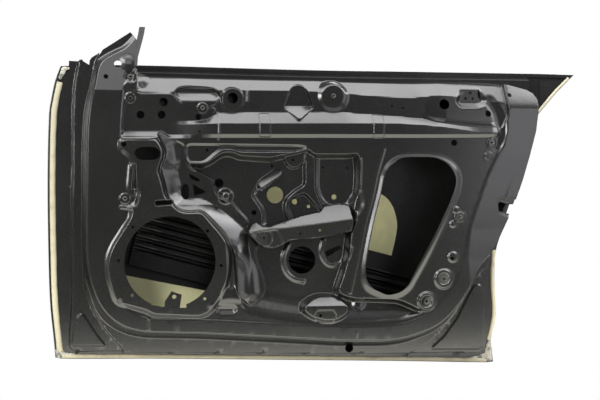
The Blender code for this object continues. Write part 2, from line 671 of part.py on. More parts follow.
def triangles(lines, keep, drop, grid):
    """Triangles over the keep outline without the drop outlines, with all lines as edges.

    Also gives where each point of the keep outline went.
    """
    every = [(keep, True)] + lines + [(hole, True) for hole in drop]
    points, edges = [], []
    for line, closed in every:
        start = len(points)
        points.extend(line)
        edges += [(start + i, start + i + 1) for i in range(len(line) - 1)]
        if closed:
            edges.append((len(points) - 1, start))
    low, high = keep.min(0), keep.max(0)
    across, up = np.meshgrid(np.arange(low[0], high[0], grid), np.arange(low[1], high[1], grid))
    across[::2] += grid / 2
    fill = np.stack([across.ravel(), up.ravel()], 1)
    near = np.min([distance(fill, line, closed)[0] for line, closed in every], axis=0)
    points.extend(fill[near > grid * FILL_SHARE])
    result = delaunay_2d_cdt([Vector(point) for point in points], edges, [], 0, MERGE)
    corners = np.array([tuple(point) for point in result[0]])
    faces = np.array(result[2])
    middle = corners[faces].mean(1)
    wanted = distance(middle, keep)[1]
    for hole in drop:
        wanted &= ~distance(middle, hole)[1]
    went = {old: new for new, olds in enumerate(result[3]) for old in olds}
    return corners, faces[wanted], [went[i] for i in range(len(keep))]


def offset_directions(points, faces):
    """Unit directions, by vertex, along which a sheet gets its thickness, and their lengths."""
    a, b, c = (points[faces[:, i]] for i in range(3))
    normal = np.cross(b - a, c - a)
    normal /= np.linalg.norm(normal, axis=1, keepdims=True) + 1e-30
    total = np.zeros_like(points)
    for i in range(3):
        here = points[faces[:, i]]
        one = points[faces[:, (i + 1) % 3]] - here
        two = points[faces[:, (i + 2) % 3]] - here
        cosine = (one * two).sum(1) / (np.linalg.norm(one, axis=1) * np.linalg.norm(two, axis=1) + 1e-30)
        np.add.at(total, faces[:, i], normal * np.arccos(np.clip(cosine, -1, 1))[:, None])
    unit = total / (np.linalg.norm(total, axis=1, keepdims=True) + 1e-30)
    least = np.ones(len(points))
    for i in range(3):
        np.minimum.at(least, faces[:, i], (unit[faces[:, i]] * normal).sum(1))
    return unit / np.clip(least, LEAST_LEAN, 1)[:, None]


def settled(points, faces, push, depth):
    """The push directions, evened out where a sheet this deep would fold over itself."""
    for _ in range(SETTLE_ROUNDS):
        normals = []
        for corners in (points, points - push * depth):
            a, b, c = (corners[faces[:, i]] for i in range(3))
            normals.append(np.cross(b - a, c - a))
        facing = (normals[0] * normals[1]).sum(1) / (normals[0] * normals[0]).sum(1)
        bad = faces[facing < LEAST_FACING]
        if len(bad) == 0:
            break
        mean = push[bad].mean(1)
        for i in range(3):
            push[bad[:, i]] = mean
    return push


def new_object(name, points, faces, finish, smooth=None):
    """An object of its own material; smooth is the angle in degrees above which edges stay sharp."""
    mesh = bpy.data.meshes.new(name)
    mesh.from_pydata([tuple(p) for p in points], [], [tuple(int(i) for i in face) for face in faces])
    mesh.validate()
    body = bmesh.new()
    body.from_mesh(mesh)
    loose = [vert for vert in body.verts if not vert.link_faces]
    bmesh.ops.delete(body, geom=loose, context="VERTS")
    bmesh.ops.recalc_face_normals(body, faces=body.faces)
    bmesh.ops.triangulate(body, faces=body.faces)
    body.to_mesh(mesh)
    body.free()
    if smooth is not None:
        mesh.shade_smooth()
        mesh.set_sharp_from_angle(angle=math.radians(smooth))
    thing = bpy.data.objects.new(name, mesh)
    bpy.context.collection.objects.link(thing)
    thing.parent = datum
    material = bpy.data.materials.new(name)
    material.use_nodes = True
    shader = material.node_tree.nodes["Principled BSDF"]
    colour, rough, metallic = finish
    shader.inputs["Base Color"].default_value = (*colour, 1)
    shader.inputs["Roughness"].default_value = rough
    shader.inputs["Metallic"].default_value = metallic
    mesh.materials.append(material)


PRIMER = ((0.035, 0.036, 0.033), 0.38, 0.2)
CREAM = ((0.74, 0.70, 0.52), 0.6, 0.0)
PALE = ((0.50, 0.49, 0.28), 0.7, 0.0)
NUT_STEEL = ((0.30, 0.30, 0.29), 0.45, 0.8)


def sheet(name, faces, front, back, finish):
    """One closed body between two surfaces that share their triangles."""
    count = len(front)
    sides = {}
    for face in faces:
        for i in range(3):
            a, b = face[i], face[(i + 1) % 3]
            sides[(a, b)] = True
    rim = [(b, a, a + count, b + count) for a, b in sides if (b, a) not in sides]
    reverse = [(c + count, b + count, a + count) for a, b, c in faces]
    body = [tuple(face) for face in faces] + reverse + rim
    new_object(name, np.concatenate([front, back]), body, finish, 35)


def lofted(name, sections, finish, smooth=None):
    """One closed body through sections of equal point counts, capped at both ends."""
    count = len(sections[0])
    points = np.concatenate(sections)
    faces = []
    for k in range(len(sections) - 1):
        for i in range(count):
            j = (i + 1) % count
            faces.append((k * count + i, k * count + j, (k + 1) * count + j, (k + 1) * count + i))
    faces.append(tuple(range(count))[::-1])
    faces.append(tuple((len(sections) - 1) * count + i for i in range(count)))
    new_object(name, points, faces, finish, smooth)


def thick(profile, amount):
    """The closed outline of a bent strip: the profile, and the profile moved to its left."""
    line = np.asarray(profile, float)
    return np.concatenate([line, inset(line, amount, False)[::-1]])


def inner_panel():
    """The pressed inner panel, and the plates that lie behind its faces."""
    hem = inset(hem_line, SKIN_SHEET + GAP, False)
    free = [place(free_rear_px, REAR_CREST_LEVEL), place(free_belt_px, BELT_TOP_LEVEL),
            place(free_sail_px, BELT_FACE_LEVEL), place(free_front_px, 0)]
    outline = turning_left(np.concatenate([hem] + free))
    holes = [disc(*SPEAKER_HOLE_PX, SPEAKER_LEVEL, 2 * ROUND_SIDES)]
    for points_px in (speaker_notch_top_px, speaker_notch_low_px, access_opening_px, grab_slot_px,
                      latch_notch_px):
        holes.append(place(points_px, TRIM_LEVEL))
    for points_px in (bone_slot_px, bone_triangle_px, bone_oblong_px, cable_slot_px):
        holes.append(place(points_px, STEP_LEVEL))
    for x, y, radius, level in round_holes_px:
        sides = ROUND_SIDES if radius > SMALL_HOLE_PX else SMALL_ROUND_SIDES
        holes.append(disc(x, y, radius, level, sides))
    for _, x, y, level in nuts_px:
        holes.append(circle(place([(x, y)], level)[0], NUT_HOLE / 2, SMALL_ROUND_SIDES))
    lines = [row for form in FORMS for row in form.rows()]
    lines += [(wall_line, True), (inset(wall_line, -wall_width(wall_line)), True)]
    guides = ((shoulder_line_px, BELT_FACE_LEVEL), (bar_crest_px, BAR_LEVEL), (ledge_line_px, TRIM_LEVEL),
              (bone_foot_px, STEP_LEVEL), (recess_foot_line_px, RECESS_LEVEL), (oval_foot_px, LIP_LEVEL),
              (sail_line_px, TRIM_LEVEL))
    lines += [(place(points_px, level), False) for points_px, level in guides]
    plates = {
        "upper_hinge_reinforcement": place(upper_hinge_px, STRIP_LEVEL),
        "lower_hinge_reinforcement": place(lower_hinge_px, STRIP_LEVEL),
        "latch_reinforcement": place(latch_plate_px, TRIM_LEVEL),
        "mirror_reinforcement": place(mirror_plate_px, BELT_FACE_LEVEL),
    }
    lines += [(line, True) for line in plates.values()]
    corners, faces, _ = triangles(lines, outline, holes, PANEL_GRID)
    front = np.stack([corners[:, 0], -panel_level(corners), corners[:, 1]], 1)
    deepest = PANEL_SHEET + GAP + PLATE_SHEET
    push = settled(front, faces, offset_directions(front, faces), PANEL_SHEET)
    sheet("inner_panel", faces, front, front - push * PANEL_SHEET, PRIMER)
    middle = corners[faces].mean(1)
    for name, line in plates.items():
        chosen = faces[distance(middle, line)[1]]
        sheet(name, chosen, front - push * (PANEL_SHEET + GAP), front - push * deepest, PRIMER)


def outer_panel():
    """The skin: a fold round the flange's edge, a return on the cabin side, and the crowned face.

    The pads glued inside it and the plate in its rear corner share its triangles.
    """
    hem_low = PANEL_SHEET + GAP
    outer_low = hem_low + SKIN_SHEET
    belt = np.arange(len(skin_edge)) >= len(skin_edge) - len(skin_belt_px)

    def ring(inward, out):
        line = inset(skin_edge, inward)
        return np.stack([line[:, 0], np.where(belt, skin_crown(line), 0) + out, line[:, 1]], 1)

    patches = {
        "upper_damping_pad": (place(upper_pad_px, -SKIN_CROWN), PAD_THICKNESS, PALE),
        "lower_damping_pad": (place(lower_pad_px, -SKIN_CROWN), PAD_THICKNESS, PALE),
        "rear_corner_reinforcement": (place(corner_plate_px), PLATE_SHEET, PRIMER),
    }
    start_line = inset(skin_edge, FACE_START)
    lines = [(line, True) for line, _, _ in patches.values()]
    corners, faces, order = triangles(lines, start_line, [], SKIN_GRID)
    crown = skin_crown(corners)
    inside = np.stack([corners[:, 0], crown + hem_low, corners[:, 1]], 1)
    outside = inside + np.array([0, SKIN_SHEET, 0])
    return_low = -GAP - SKIN_SHEET
    rings = [
        ring(SKIN_SHEET, hem_low), ring(SKIN_SHEET, -GAP), ring(HEM_WIDTH, -GAP), ring(HEM_WIDTH, return_low),
        ring(HEM_ROUND, return_low), ring(0, return_low + HEM_ROUND), ring(0, outer_low - HEM_ROUND),
        ring(HEM_ROUND, outer_low),
    ]
    inner_count, count = len(corners), len(skin_edge)
    loops = [order]
    loops += [[2 * inner_count + k * count + i for i in range(count)] for k in range(len(rings))]
    loops.append([inner_count + i for i in order])
    body = [tuple(face) for face in faces]
    body += [(c + inner_count, b + inner_count, a + inner_count) for a, b, c in faces]
    for one, two in zip(loops, loops[1:]):
        for i in range(count):
            j = (i + 1) % count
            body.append((one[i], one[j], two[j], two[i]))
    new_object("outer_panel", np.concatenate([inside, outside] + rings), body, PRIMER, SHEET_SMOOTH)
    middle = corners[faces].mean(1)
    for name, (line, thickness, finish) in patches.items():
        chosen = faces[distance(middle, line)[1]]
        back = inside - np.array([0, GAP, 0])
        sheet(name, chosen, back - np.array([0, thickness, 0]), back, finish)


def belt_rail(name, edge, base, profile):
    """A rail along a belt edge: profile points are drop from the edge and level over the base."""
    outline = thick(profile, -PANEL_SHEET)
    sections = []
    for x, z in edge:
        below = np.stack([np.full(len(outline), x), z - outline[:, 0]], 1)
        sections.append(np.stack([below[:, 0], base(below) - outline[:, 1], below[:, 1]], 1))
    lofted(name, sections, PRIMER, SHEET_SMOOTH)


def belt_rails():
    """The outer rail hangs in the skin's belt hem, the inner rail behind the panel's belt edge."""
    start = SKIN_SHEET + GAP
    knee = start + RAIL_FLANGE
    profile = [
        (start, 0), (knee, 0), (knee + RAIL_BEND, RAIL_DEPTH), (knee + RAIL_BEND + RAIL_HEIGHT, RAIL_DEPTH),
        (knee + 2 * RAIL_BEND + RAIL_HEIGHT, RAIL_FOOT),
        (knee + 2 * RAIL_BEND + RAIL_HEIGHT + RAIL_LIP, RAIL_FOOT),
    ]
    outer_edge = skin_edge[-len(skin_belt_px) + 1:][::-1]
    belt_rail("outer_belt_reinforcement", outer_edge, skin_crown, profile)

    def behind_panel(line):
        return np.full(len(line), PANEL_SHEET + GAP - BELT_TOP_LEVEL)

    inner_edge = place(free_belt_px[1:8], BELT_TOP_LEVEL)[::-1]
    inner_profile = [(drop, -level) for drop, level in profile]
    belt_rail("inner_belt_reinforcement", inner_edge, behind_panel, inner_profile)


def side_impact_beam():
    """A corrugated beam that falls towards the rear, with a flat foot under its ribs."""
    start, end = place([beam_front_px], BEAM_FRONT_LEVEL)[0], place([beam_rear_px], BEAM_REAR_LEVEL)[0]
    along = (end - start) / np.linalg.norm(end - start)
    up = np.array([-along[1], along[0]])
    top = BEAM_RIBS * BEAM_RIB_PITCH / 2
    profile = []
    for rib in range(BEAM_RIBS):
        for share, depth_share in rib_shares:
            profile.append((top - (rib + share) * BEAM_RIB_PITCH, -depth_share * BEAM_RIB_DEPTH))
    profile.append((-top - BEAM_FOOT, 0))
    outline = thick(profile, -BEAM_SHEET)
    sections = []
    for middle, level in ((start, BEAM_FRONT_LEVEL), (end, BEAM_REAR_LEVEL)):
        spots = middle + outline[:, :1] * up
        sections.append(np.stack([spots[:, 0], -level - outline[:, 1], spots[:, 1]], 1))
    lofted("side_impact_beam", sections, PRIMER, SHEET_SMOOTH)
    return start, end, along


def beam_straps():
    """The straps that tie the beam's ends to the panel's low strips, front and rear."""
    start, end, along = side_impact_beam()
    slope = (BEAM_REAR_LEVEL - BEAM_FRONT_LEVEL) / np.linalg.norm(end - start)

    def over_beam(point):
        return BEAM_FRONT_LEVEL + BEAM_SHEET + GAP + slope * np.dot(point - start, along)

    def under_strip(point):
        return STRIP_LEVEL - PANEL_SHEET - GAP - PLATE_SHEET

    for name, tip, way, seat_px in (("beam_bracket_front", start, 1, strap_front_px),
                                    ("beam_bracket_rear", end, -1, strap_rear_px)):
        foot = place([seat_px], STRIP_LEVEL)[0]
        stations = [
            (tip + along * way * STRAP_LAP, over_beam, STRAP_WIDTH),
            (tip - along * way * STRAP_OVERHANG, over_beam, STRAP_WIDTH),
            (foot + [way * STRAP_SEAT / 2, 0], under_strip, STRAP_SEAT_WIDTH),
            (foot - [way * STRAP_SEAT / 2, 0], under_strip, STRAP_SEAT_WIDTH),
        ]
        sections = []
        for (x, z), level_at, width in stations:
            low, high = (np.array([x, z + side * width / 2]) for side in (-1, 1))
            sections.append(np.array([
                (x, -level_at(low), low[1]), (x, -level_at(high), high[1]),
                (x, -level_at(high) - PLATE_SHEET, high[1]), (x, -level_at(low) - PLATE_SHEET, low[1]),
            ]))
        lofted(name, sections, PRIMER)


def weld_nuts():
    """Hexagon nuts with a through bore, each behind its pad."""
    for name, x_px, y_px, level in nuts_px:
        centre = place([(x_px, y_px)], level)[0]
        hexagon = circle(centre, NUT_FLATS / math.sqrt(3), 6)
        middles = (hexagon + np.roll(hexagon, -1, axis=0)) / 2
        outer = np.stack([hexagon, middles], 1).reshape(-1, 2)
        count = len(outer)
        bore = circle(centre, NUT_BORE / 2, count)
        front = PANEL_SHEET + GAP - level
        back = front + NUT_HEIGHT
        rings = []
        for ring, out in ((outer, front), (outer, back), (bore, back), (bore, front)):
            rings.append(np.stack([ring[:, 0], np.full(count, out), ring[:, 1]], 1))
        faces = []
        for k in range(len(rings)):
            for i in range(count):
                j = (i + 1) % count
                n = (k + 1) % len(rings)
                faces.append((k * count + i, k * count + j, n * count + j, n * count + i))
        new_object(name, np.concatenate(rings), faces, NUT_STEEL, NUT_SMOOTH)


def hem_beads():
    """Sealant laid over the hem's return and, where the flange is wide enough, down onto it."""
    over = GAP + SKIN_SHEET + GAP
    step = HEM_WIDTH + GAP
    low, high, shoulder = BEAD_SLOPE_SHARES
    tip_line = rear_line[-3:].copy()
    tip_line[-1] = tip_line[-2] + (tip_line[-1] - tip_line[-2]) * TIP_BEAD_SHARE
    runs = (
        ("hem_sealant_front", front_line[1:-1], BEAD_START, BEAD_WIDTH),
        ("hem_sealant_bottom", bottom_line[1:-1], EDGE_BEAD_START, EDGE_BEAD_WIDTH),
        ("hem_sealant_rear", rear_line[1:5], EDGE_BEAD_START, EDGE_BEAD_WIDTH),
        ("hem_sealant_top_rear", tip_line, EDGE_BEAD_START, TIP_BEAD_WIDTH),
    )
    for name, line, start, width in runs:
        end = start + width
        profile = [(start, over), (end, over)]
        if end > step:
            profile = [(start, over), (step, over), (step, GAP), (end, GAP), (start + width * shoulder, over)]
        crest = over + BEAD_HEIGHT
        profile += [(start + width * high, crest), (start + width * low, crest)]
        tracks = []
        for inward, level in profile:
            track = inset(line, inward, False)
            tracks.append(np.stack([track[:, 0], np.full(len(line), -level), track[:, 1]], 1))
        lofted(name, list(np.stack(tracks, 1)), CREAM, BEAD_SMOOTH)


def dabs():
    """Flat dabs of sealant at the corners of the hem."""
    low = GAP + SKIN_SHEET + GAP
    for name, points_px in dabs_px.items():
        line = turning_left(place(points_px))
        sections = []
        for inward_share, height_share in dab_shares:
            ring = inset(line, DAB_HEIGHT * inward_share)
            level = np.full(len(ring), low + DAB_HEIGHT * height_share)
            sections.append(np.stack([ring[:, 0], -level, ring[:, 1]], 1))
        lofted(name, sections, CREAM, BEAD_SMOOTH)


def armrest_bracket():
    """A folded bracket across the recess: a sloped top, an upright face and a lip below."""
    sections = []
    for x_px, back_y, fold_y, low_y, back_level, fold_level in armrest_px:
        profile = []
        lip_level = fold_level - ARMREST_LIP
        folds = ((back_y, back_level), (fold_y, fold_level), (low_y, fold_level), (low_y, lip_level))
        for y_px, level in folds:
            profile.append((level, place([(x_px, y_px)], level)[0][1]))
        outline = thick(profile, PLATE_SHEET)
        across = [place([(x_px, fold_y)], level)[0][0] for level in outline[:, 0]]
        sections.append(np.stack([across, -outline[:, 0], outline[:, 1]], 1))
    lofted("armrest_bracket", sections, PRIMER)


def plate(name, outline, holes, level, thickness, finish):
    """A flat plate whose cabin side stands on a level."""
    corners, faces, _ = triangles([], outline, holes, PANEL_GRID)
    front = np.stack([corners[:, 0], np.full(len(corners), -level), corners[:, 1]], 1)
    sheet(name, faces, front, front + np.array([0, thickness, 0]), finish)


def speaker_tab():
    level = SPEAKER_LEVEL - PANEL_SHEET - GAP
    hole = disc(*speaker_tab_hole_px, level, SMALL_ROUND_SIDES)
    plate("speaker_tab", place(speaker_tab_px, level), [hole], level, PLATE_SHEET, PRIMER)


def window_channel_bracket():
    """The channel that guides the glass behind the sail's rear edge, open to the rear."""
    fold = [(CHANNEL_DEPTH, 0), (0, 0), (0, -CHANNEL_WIDTH), (CHANNEL_DEPTH, -CHANNEL_WIDTH)]
    outline = thick(fold, -PLATE_SHEET)
    sections = []
    for x_px, y_px in channel_px:
        level = TRIM_LEVEL - (SAIL_LOW_PX - y_px) * PIXEL * SAIL_LEAN - PANEL_SHEET - CHANNEL_SEAT
        x, z = place([(x_px, y_px)], level)[0]
        sections.append(np.array([(x + rearward, -level - up, z) for rearward, up in outline]))
    lofted("window_channel_bracket", sections, PRIMER)


def wall_seat(y_px):
    """The middle of the front shut wall at a picture height."""
    upper, lower = place(wall_front_px[3:5], STRIP_LEVEL)
    height = place([(wall_front_px[3][0], y_px)], STRIP_LEVEL)[0][1]
    crown = upper + (lower - upper) * (height - upper[1]) / (lower[1] - upper[1])
    along = (lower - upper) / np.linalg.norm(lower - upper)
    middle = crown + np.array([along[1], -along[0]]) * STRIP_WALL / 2
    return Vector((middle[0], -STRIP_LEVEL / 2, middle[1]))


for thing in list(bpy.data.objects):
    bpy.data.objects.remove(thing)
datum = bpy.data.objects.new("door_datum", None)
datum.location = -wall_seat(HINGE_UPPER_PX)
bpy.context.collection.objects.link(datum)

skin_edge = skin_outline()
hem_line = np.concatenate([place(hem_start_px), front_line[1:-1], bottom_line, rear_line[1:-2]])
inner_panel()
outer_panel()
belt_rails()
beam_straps()
weld_nuts()
hem_beads()
dabs()
armrest_bracket()
speaker_tab()
window_channel_bracket()
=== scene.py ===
import math

import bmesh
import bpy
import numpy as np
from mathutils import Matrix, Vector
from mathutils.geometry import delaunay_2d_cdt


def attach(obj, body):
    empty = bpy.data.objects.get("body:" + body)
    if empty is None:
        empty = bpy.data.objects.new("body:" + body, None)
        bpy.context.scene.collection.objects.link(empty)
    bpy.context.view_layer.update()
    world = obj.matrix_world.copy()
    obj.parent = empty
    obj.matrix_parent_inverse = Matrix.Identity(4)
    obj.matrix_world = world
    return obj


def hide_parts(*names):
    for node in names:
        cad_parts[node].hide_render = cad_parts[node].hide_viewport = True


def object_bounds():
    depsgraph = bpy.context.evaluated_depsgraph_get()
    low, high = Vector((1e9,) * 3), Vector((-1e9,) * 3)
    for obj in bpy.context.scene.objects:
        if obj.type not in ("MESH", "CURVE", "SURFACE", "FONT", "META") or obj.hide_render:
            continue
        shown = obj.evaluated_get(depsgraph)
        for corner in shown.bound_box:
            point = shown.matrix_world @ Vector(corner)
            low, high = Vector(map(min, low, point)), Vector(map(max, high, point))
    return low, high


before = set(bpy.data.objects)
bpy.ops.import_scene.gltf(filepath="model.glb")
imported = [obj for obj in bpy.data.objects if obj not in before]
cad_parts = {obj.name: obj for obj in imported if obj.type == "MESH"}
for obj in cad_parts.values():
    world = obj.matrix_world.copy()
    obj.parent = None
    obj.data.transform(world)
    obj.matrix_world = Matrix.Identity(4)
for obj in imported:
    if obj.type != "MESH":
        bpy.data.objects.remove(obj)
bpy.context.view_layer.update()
bpy.ops.object.select_all(action="DESELECT")

# The view that the outlines were traced in: metres for a pixel at the hem plane, the camera's
# distance, how far it is turned towards the hinge side, the picture's middle and the sensor.
PIXEL = 0.0023
VIEW_DISTANCE = 2.5
VIEW_TURN = math.radians(12)
MIDDLE_PX = (300, 200)
FOCAL_PX = VIEW_DISTANCE / PIXEL
SENSOR = 36
SINE = math.sin(VIEW_TURN)
COSINE = math.cos(VIEW_TURN)

# Sheets and clearances.
GAP = 0.0003
PANEL_SHEET = 0.0012
SKIN_SHEET = 0.0009
PLATE_SHEET = 0.0015
BEAM_SHEET = 0.0018
PAD_SHEET = 0.0025
SEALANT_HEIGHT = 0.0034

# Levels of the inner panel's tiers over the hem plane, towards the cabin.
STRIP_LEVEL = 0.032
SEAL_LEVEL = 0.050
TRIM_LEVEL = 0.086
REAR_CREST_LEVEL = 0.077
ZONE_LEVEL = 0.084
SPEAKER_LEVEL = 0.092
PLATE_LEVEL = 0.075
BELT_TOP_LEVEL = 0.050
BELT_FACE_LEVEL = 0.073
BELT_END_RISE = 0.011
BAR_LEVEL = 0.0905
RECESS_LEVEL = 0.060
STEP_LEVEL = 0.079
LIP_LEVEL = 0.090
BOSS_LEVEL = 0.079
POCKET_LEVEL = 0.061
TAB_LEVEL = 0.070
RIB_LEVEL = 0.068
FACET_LEVEL = 0.078
HOLE_BOSS_LEVEL = 0.078
CONE_LEVEL = 0.064
SLUG_RISE = 0.015
OVAL_LEVEL = 0.062
OVAL_RISE = 0.030
HOLLOW_LEVEL = 0.0615
HOLLOW_RISE = 0.0145
SAIL_LEAN = 0.24
SAIL_FOOT_PX = 90
LEDGE_ROLL = 0.12
CORNER_ROLL = 0.55

# The outer skin.
SKIN_CROWN = 0.044
FRONT_RUN = 0.22
REAR_RUN = 0.26
BOTTOM_RUN = 0.32
BELT_LEAN_SHARE = 0.28
BELT_LEAN_RUN = 0.30
HEM_WIDTH = 0.0090

# Walls' drafts, seen square on to the panel.
SHUT_WALL = 0.0035
REAR_WALL_DRAFT = 0.0045
TRIM_WALL = 0.013
BOTTOM_WALL_DRAFT = 0.008
WIDEST_WALL = 0.024

# Nut seats, and the height in the picture at which the upper hinge sits.
NUT_PAD = 0.0090
NUT_PAD_RISE = 0.002
NUT_HOLE = 0.0035
HINGE_SEAT_PX = 150

# How finely the panel is meshed, and the steps that its surface is measured with.
ROW_STEP = 0.008
FINE_STEP = 0.0036
LEAST_BEND = 0.00008
SLOPE_STEP = 0.0004
MERGE_DISTANCE = 0.0003
SETTLE_ROUNDS = 60
LEAST_FACING = 0.2
BEND_ANGLE = 35

skin_front_px = [
    (60.7, 66), (55, 81), (51, 100), (49, 113), (47.6, 171), (48, 230), (50, 301), (54, 342),
    (55.3, 357.5),
]
skin_bottom_px = [
    (55.3, 357.5), (62, 358.7), (150, 358.7), (300, 360), (400, 361), (486, 362.3), (493, 361.5),
]
skin_rear_px = [
    (493, 361.5), (490.5, 340), (496, 314), (494.3, 276), (496, 250), (500, 236), (507, 211), (516, 187),
    (525.5, 158), (532.5, 133), (538.5, 114), (556, 93), (573.7, 75),
]
RAIL_END_PX = (534, 74)
skin_belt_px = [
    (545, 74), (518, 73.5), (460, 72.5), (400, 71.5), (330, 70.5), (280, 69.3), (220, 67.5), (160, 65.7),
    (120, 65), (90, 65),
]
free_rear_px = [(538.3, 98), (535.5, 93), (530, 89.5), (518, 86)]
free_belt_px = [
    (505, 85), (482, 83), (420, 81.7), (350, 80.7), (320, 79.5), (260, 78.5), (200, 77), (148, 75.5),
    (140, 74), (134, 68), (134, 57), (137, 41),
]
free_sail_px = [(134, 34), (131, 30.5), (92, 55), (90, 58), (89.5, 62.5)]
free_front_px = [(83, 63), (82, 61.3), (69, 60.8), (68.5, 71)]
hem_start_px = [(58.8, 71)]
latch_notch_px = [
    (518.6, 204.5), (508, 203.5), (501.5, 201.5), (499.5, 206), (501.5, 211.5), (509, 213.5), (514.8, 214),
]

wall_front_px = [(92, 10), (77.5, 70), (75, 85), (73.8, 110), (72.4, 310), (70.5, 332), (70.5, 351)]
wall_bottom_px = [(300, 352.5), (483, 352.5), (483, 330), (484, 310), (487.3, 280)]
wall_rear_px = [
    (490, 255), (498.5, 239.5), (510.5, 214), (514.5, 204), (523, 180), (530, 155), (536, 131), (538.3, 113),
    (539, 96), (552, 10),
]
seal_px = [
    (94, 76), (90, 95), (87, 113), (84.8, 170), (84.2, 250), (85, 280), (88, 297), (95, 313), (106, 330),
    (118, 343), (132, 358), (300, 358), (400, 358), (406, 354), (420, 347.5), (434, 338), (445, 326),
    (455, 314), (470, 289), (478, 274), (494, 262), (530, 250), (580, 200), (580, 40), (140, 40), (140, 20),
    (110, 40), (97, 58),
]
trim_px = [
    (98, 75), (95.5, 89), (92, 100), (89.8, 116), (88.3, 140), (87.8, 230), (88.4, 261), (92.5, 285),
    (101, 305), (112, 318), (127, 327), (145, 331), (200, 332), (280, 336), (342, 339.5), (387, 339.5),
    (405, 337), (420, 332), (433, 327), (445, 319), (460, 302), (470, 286), (479, 266), (492, 252),
    (530, 240), (580, 190), (580, 40), (150, 40), (150, 20), (134, 41), (127, 48), (113, 54.5), (104, 60),
    (100, 66),
]
zone_px = [
    (122, 93), (122, 85), (140, 60), (500, 60), (503, 90), (503, 100), (506.5, 112), (508.3, 128), (507, 140),
    (501, 151), (494, 164), (487, 180), (480, 200), (474.5, 215), (470, 230), (466, 258), (459, 278),
    (449, 295), (433, 311.5), (420, 319), (405, 324.3), (387, 327), (351, 328), (300, 326), (211, 321),
    (152, 320), (140, 318), (120, 306), (108, 285), (104, 262), (109, 246), (118, 232), (128, 215),
    (134, 200), (134, 165), (128, 156), (120, 148), (119, 136), (120, 110),
]
belt_px = [
    (140, 40), (137, 70), (137, 86), (138, 98), (168, 98), (178, 112), (205, 112), (206, 123), (440, 124),
    (500, 130), (507, 115), (506, 95), (506, 50),
]
plate_px = [
    (126, 105), (134, 90), (140, 93.5), (172, 93.5), (180, 103), (216, 108), (211, 120), (209, 133),
    (161, 133), (128, 133), (122, 132), (122.5, 118),
]
shelf_px = [(121, 139), (121, 134), (127, 131), (161, 131), (163, 133), (157, 138), (147, 140)]
bar_px = [
    (160, 133), (163, 121), (209, 119), (220, 111), (290, 110.5), (345, 110.5), (400, 115), (425, 117.5),
    (437, 121.5), (470, 126), (497, 126.5), (498, 133.5), (440, 133.8), (209, 133.5), (170, 134),
]
speaker_face_px = [
    (146, 139), (121.5, 139), (120, 148), (128, 154), (134, 163), (136, 186), (140, 194), (137, 203),
    (132, 208), (131, 217), (121, 233), (112, 247), (107.5, 260), (108, 275), (112, 290), (116, 303),
    (131, 306.5), (147, 311), (154, 315), (200, 317), (211, 312), (220, 297), (228, 280), (231, 262),
    (229, 246), (221, 234), (211, 223), (202, 212), (190, 213), (180, 212), (173, 206), (165, 197),
    (163, 188), (160, 178), (157.5, 170), (160, 163), (163, 155), (162, 148), (158, 142), (155, 139),
]
bone_left_px = [
    (158, 134), (161, 142), (165, 148), (166, 155), (163, 163), (160.5, 170), (163, 178), (166, 188),
    (167.5, 196), (172, 203), (177, 208.5), (184, 211.5), (192, 212), (202, 210.5), (212, 221), (222, 232),
    (230, 243), (235, 255), (236, 271), (238, 296),
]
bone_right_px = [
    (252, 308), (262, 300), (268, 291), (265, 278), (259, 262), (257, 252), (261, 245), (254, 237),
    (247, 231), (251, 221), (240, 210), (234, 202), (227, 200), (218, 196), (216, 186), (213.5, 178),
    (203, 172), (192, 169), (188, 163), (186, 156), (185.5, 144), (172, 139), (162, 131),
]
step_px = [
    (186, 143.5), (300, 145), (307, 146.5), (305, 149), (299, 152), (240, 152), (233, 149), (222, 149),
    (215, 154), (207, 161), (202, 163), (190, 163), (186, 158),
]
recess_px = [
    (188, 163), (202, 164), (209, 162), (222, 152.5), (233, 152.5), (240, 156), (271, 158), (280, 155.5),
    (295, 154), (304, 150), (309, 149.5), (314, 154.5), (350, 154.5), (358, 153), (360, 170), (359, 195),
    (356, 220), (351, 233), (348, 260), (342, 280), (337, 293), (350, 298), (400, 300), (425, 312),
    (400, 322), (351, 325), (300, 323), (250, 318), (240, 308), (240, 296), (250, 270), (250, 255),
    (245, 235), (235, 215), (222, 205), (210, 190), (205, 180), (195, 172),
]
hole_boss_px = [
    (221.5, 97), (223, 92), (227, 88.5), (232, 87), (238, 88.5), (243, 93), (244.5, 99), (243, 106),
    (238, 111), (232, 113), (226, 111), (222, 105),
]
cone_px = [
    (290, 90), (293, 86), (297, 84.5), (302, 84.5), (306, 88), (310, 99), (313, 108), (298, 121),
    (284, 108), (287, 98),
]
pocket_px = [
    (461, 86.5), (480, 86.5), (487, 100), (485, 106), (478, 108.5), (459, 108.5), (455, 104), (454.5, 100),
]
slug_px = [(257, 184), (261, 178.5), (276, 168.5), (281.5, 170.5), (281, 174.5), (264, 188.5), (259, 188.5)]
hinge_tab_px = [(283, 156), (308, 151), (307, 158), (301, 166), (293, 169), (287, 165)]
rib_px = [
    (305, 152), (316, 157), (316, 190), (324, 208), (322, 212), (305, 193), (292, 199), (287, 206),
    (291, 215), (293, 221), (288, 221), (284, 208), (286, 199), (296, 190), (305, 185),
]
facet_px = [(350, 212), (352, 200), (360, 190), (362, 205), (357, 214)]
oval_boss_px = [
    (299, 311), (301, 303), (310, 296), (320, 292), (336, 292), (346, 297), (352, 304), (353, 311),
    (348, 318), (338, 324), (324, 325), (310, 321), (303, 316),
]
lip_px = [
    (400, 152), (425, 151), (440, 153), (452, 158.5), (460, 167), (463.5, 178), (462, 190), (457, 204),
    (446, 228), (436, 249), (427, 266), (419, 280), (413, 291), (402, 299), (390, 301), (376, 298),
    (364, 292), (359, 281), (359, 267), (362, 248), (368, 219), (375, 193), (379, 171), (386, 160),
]

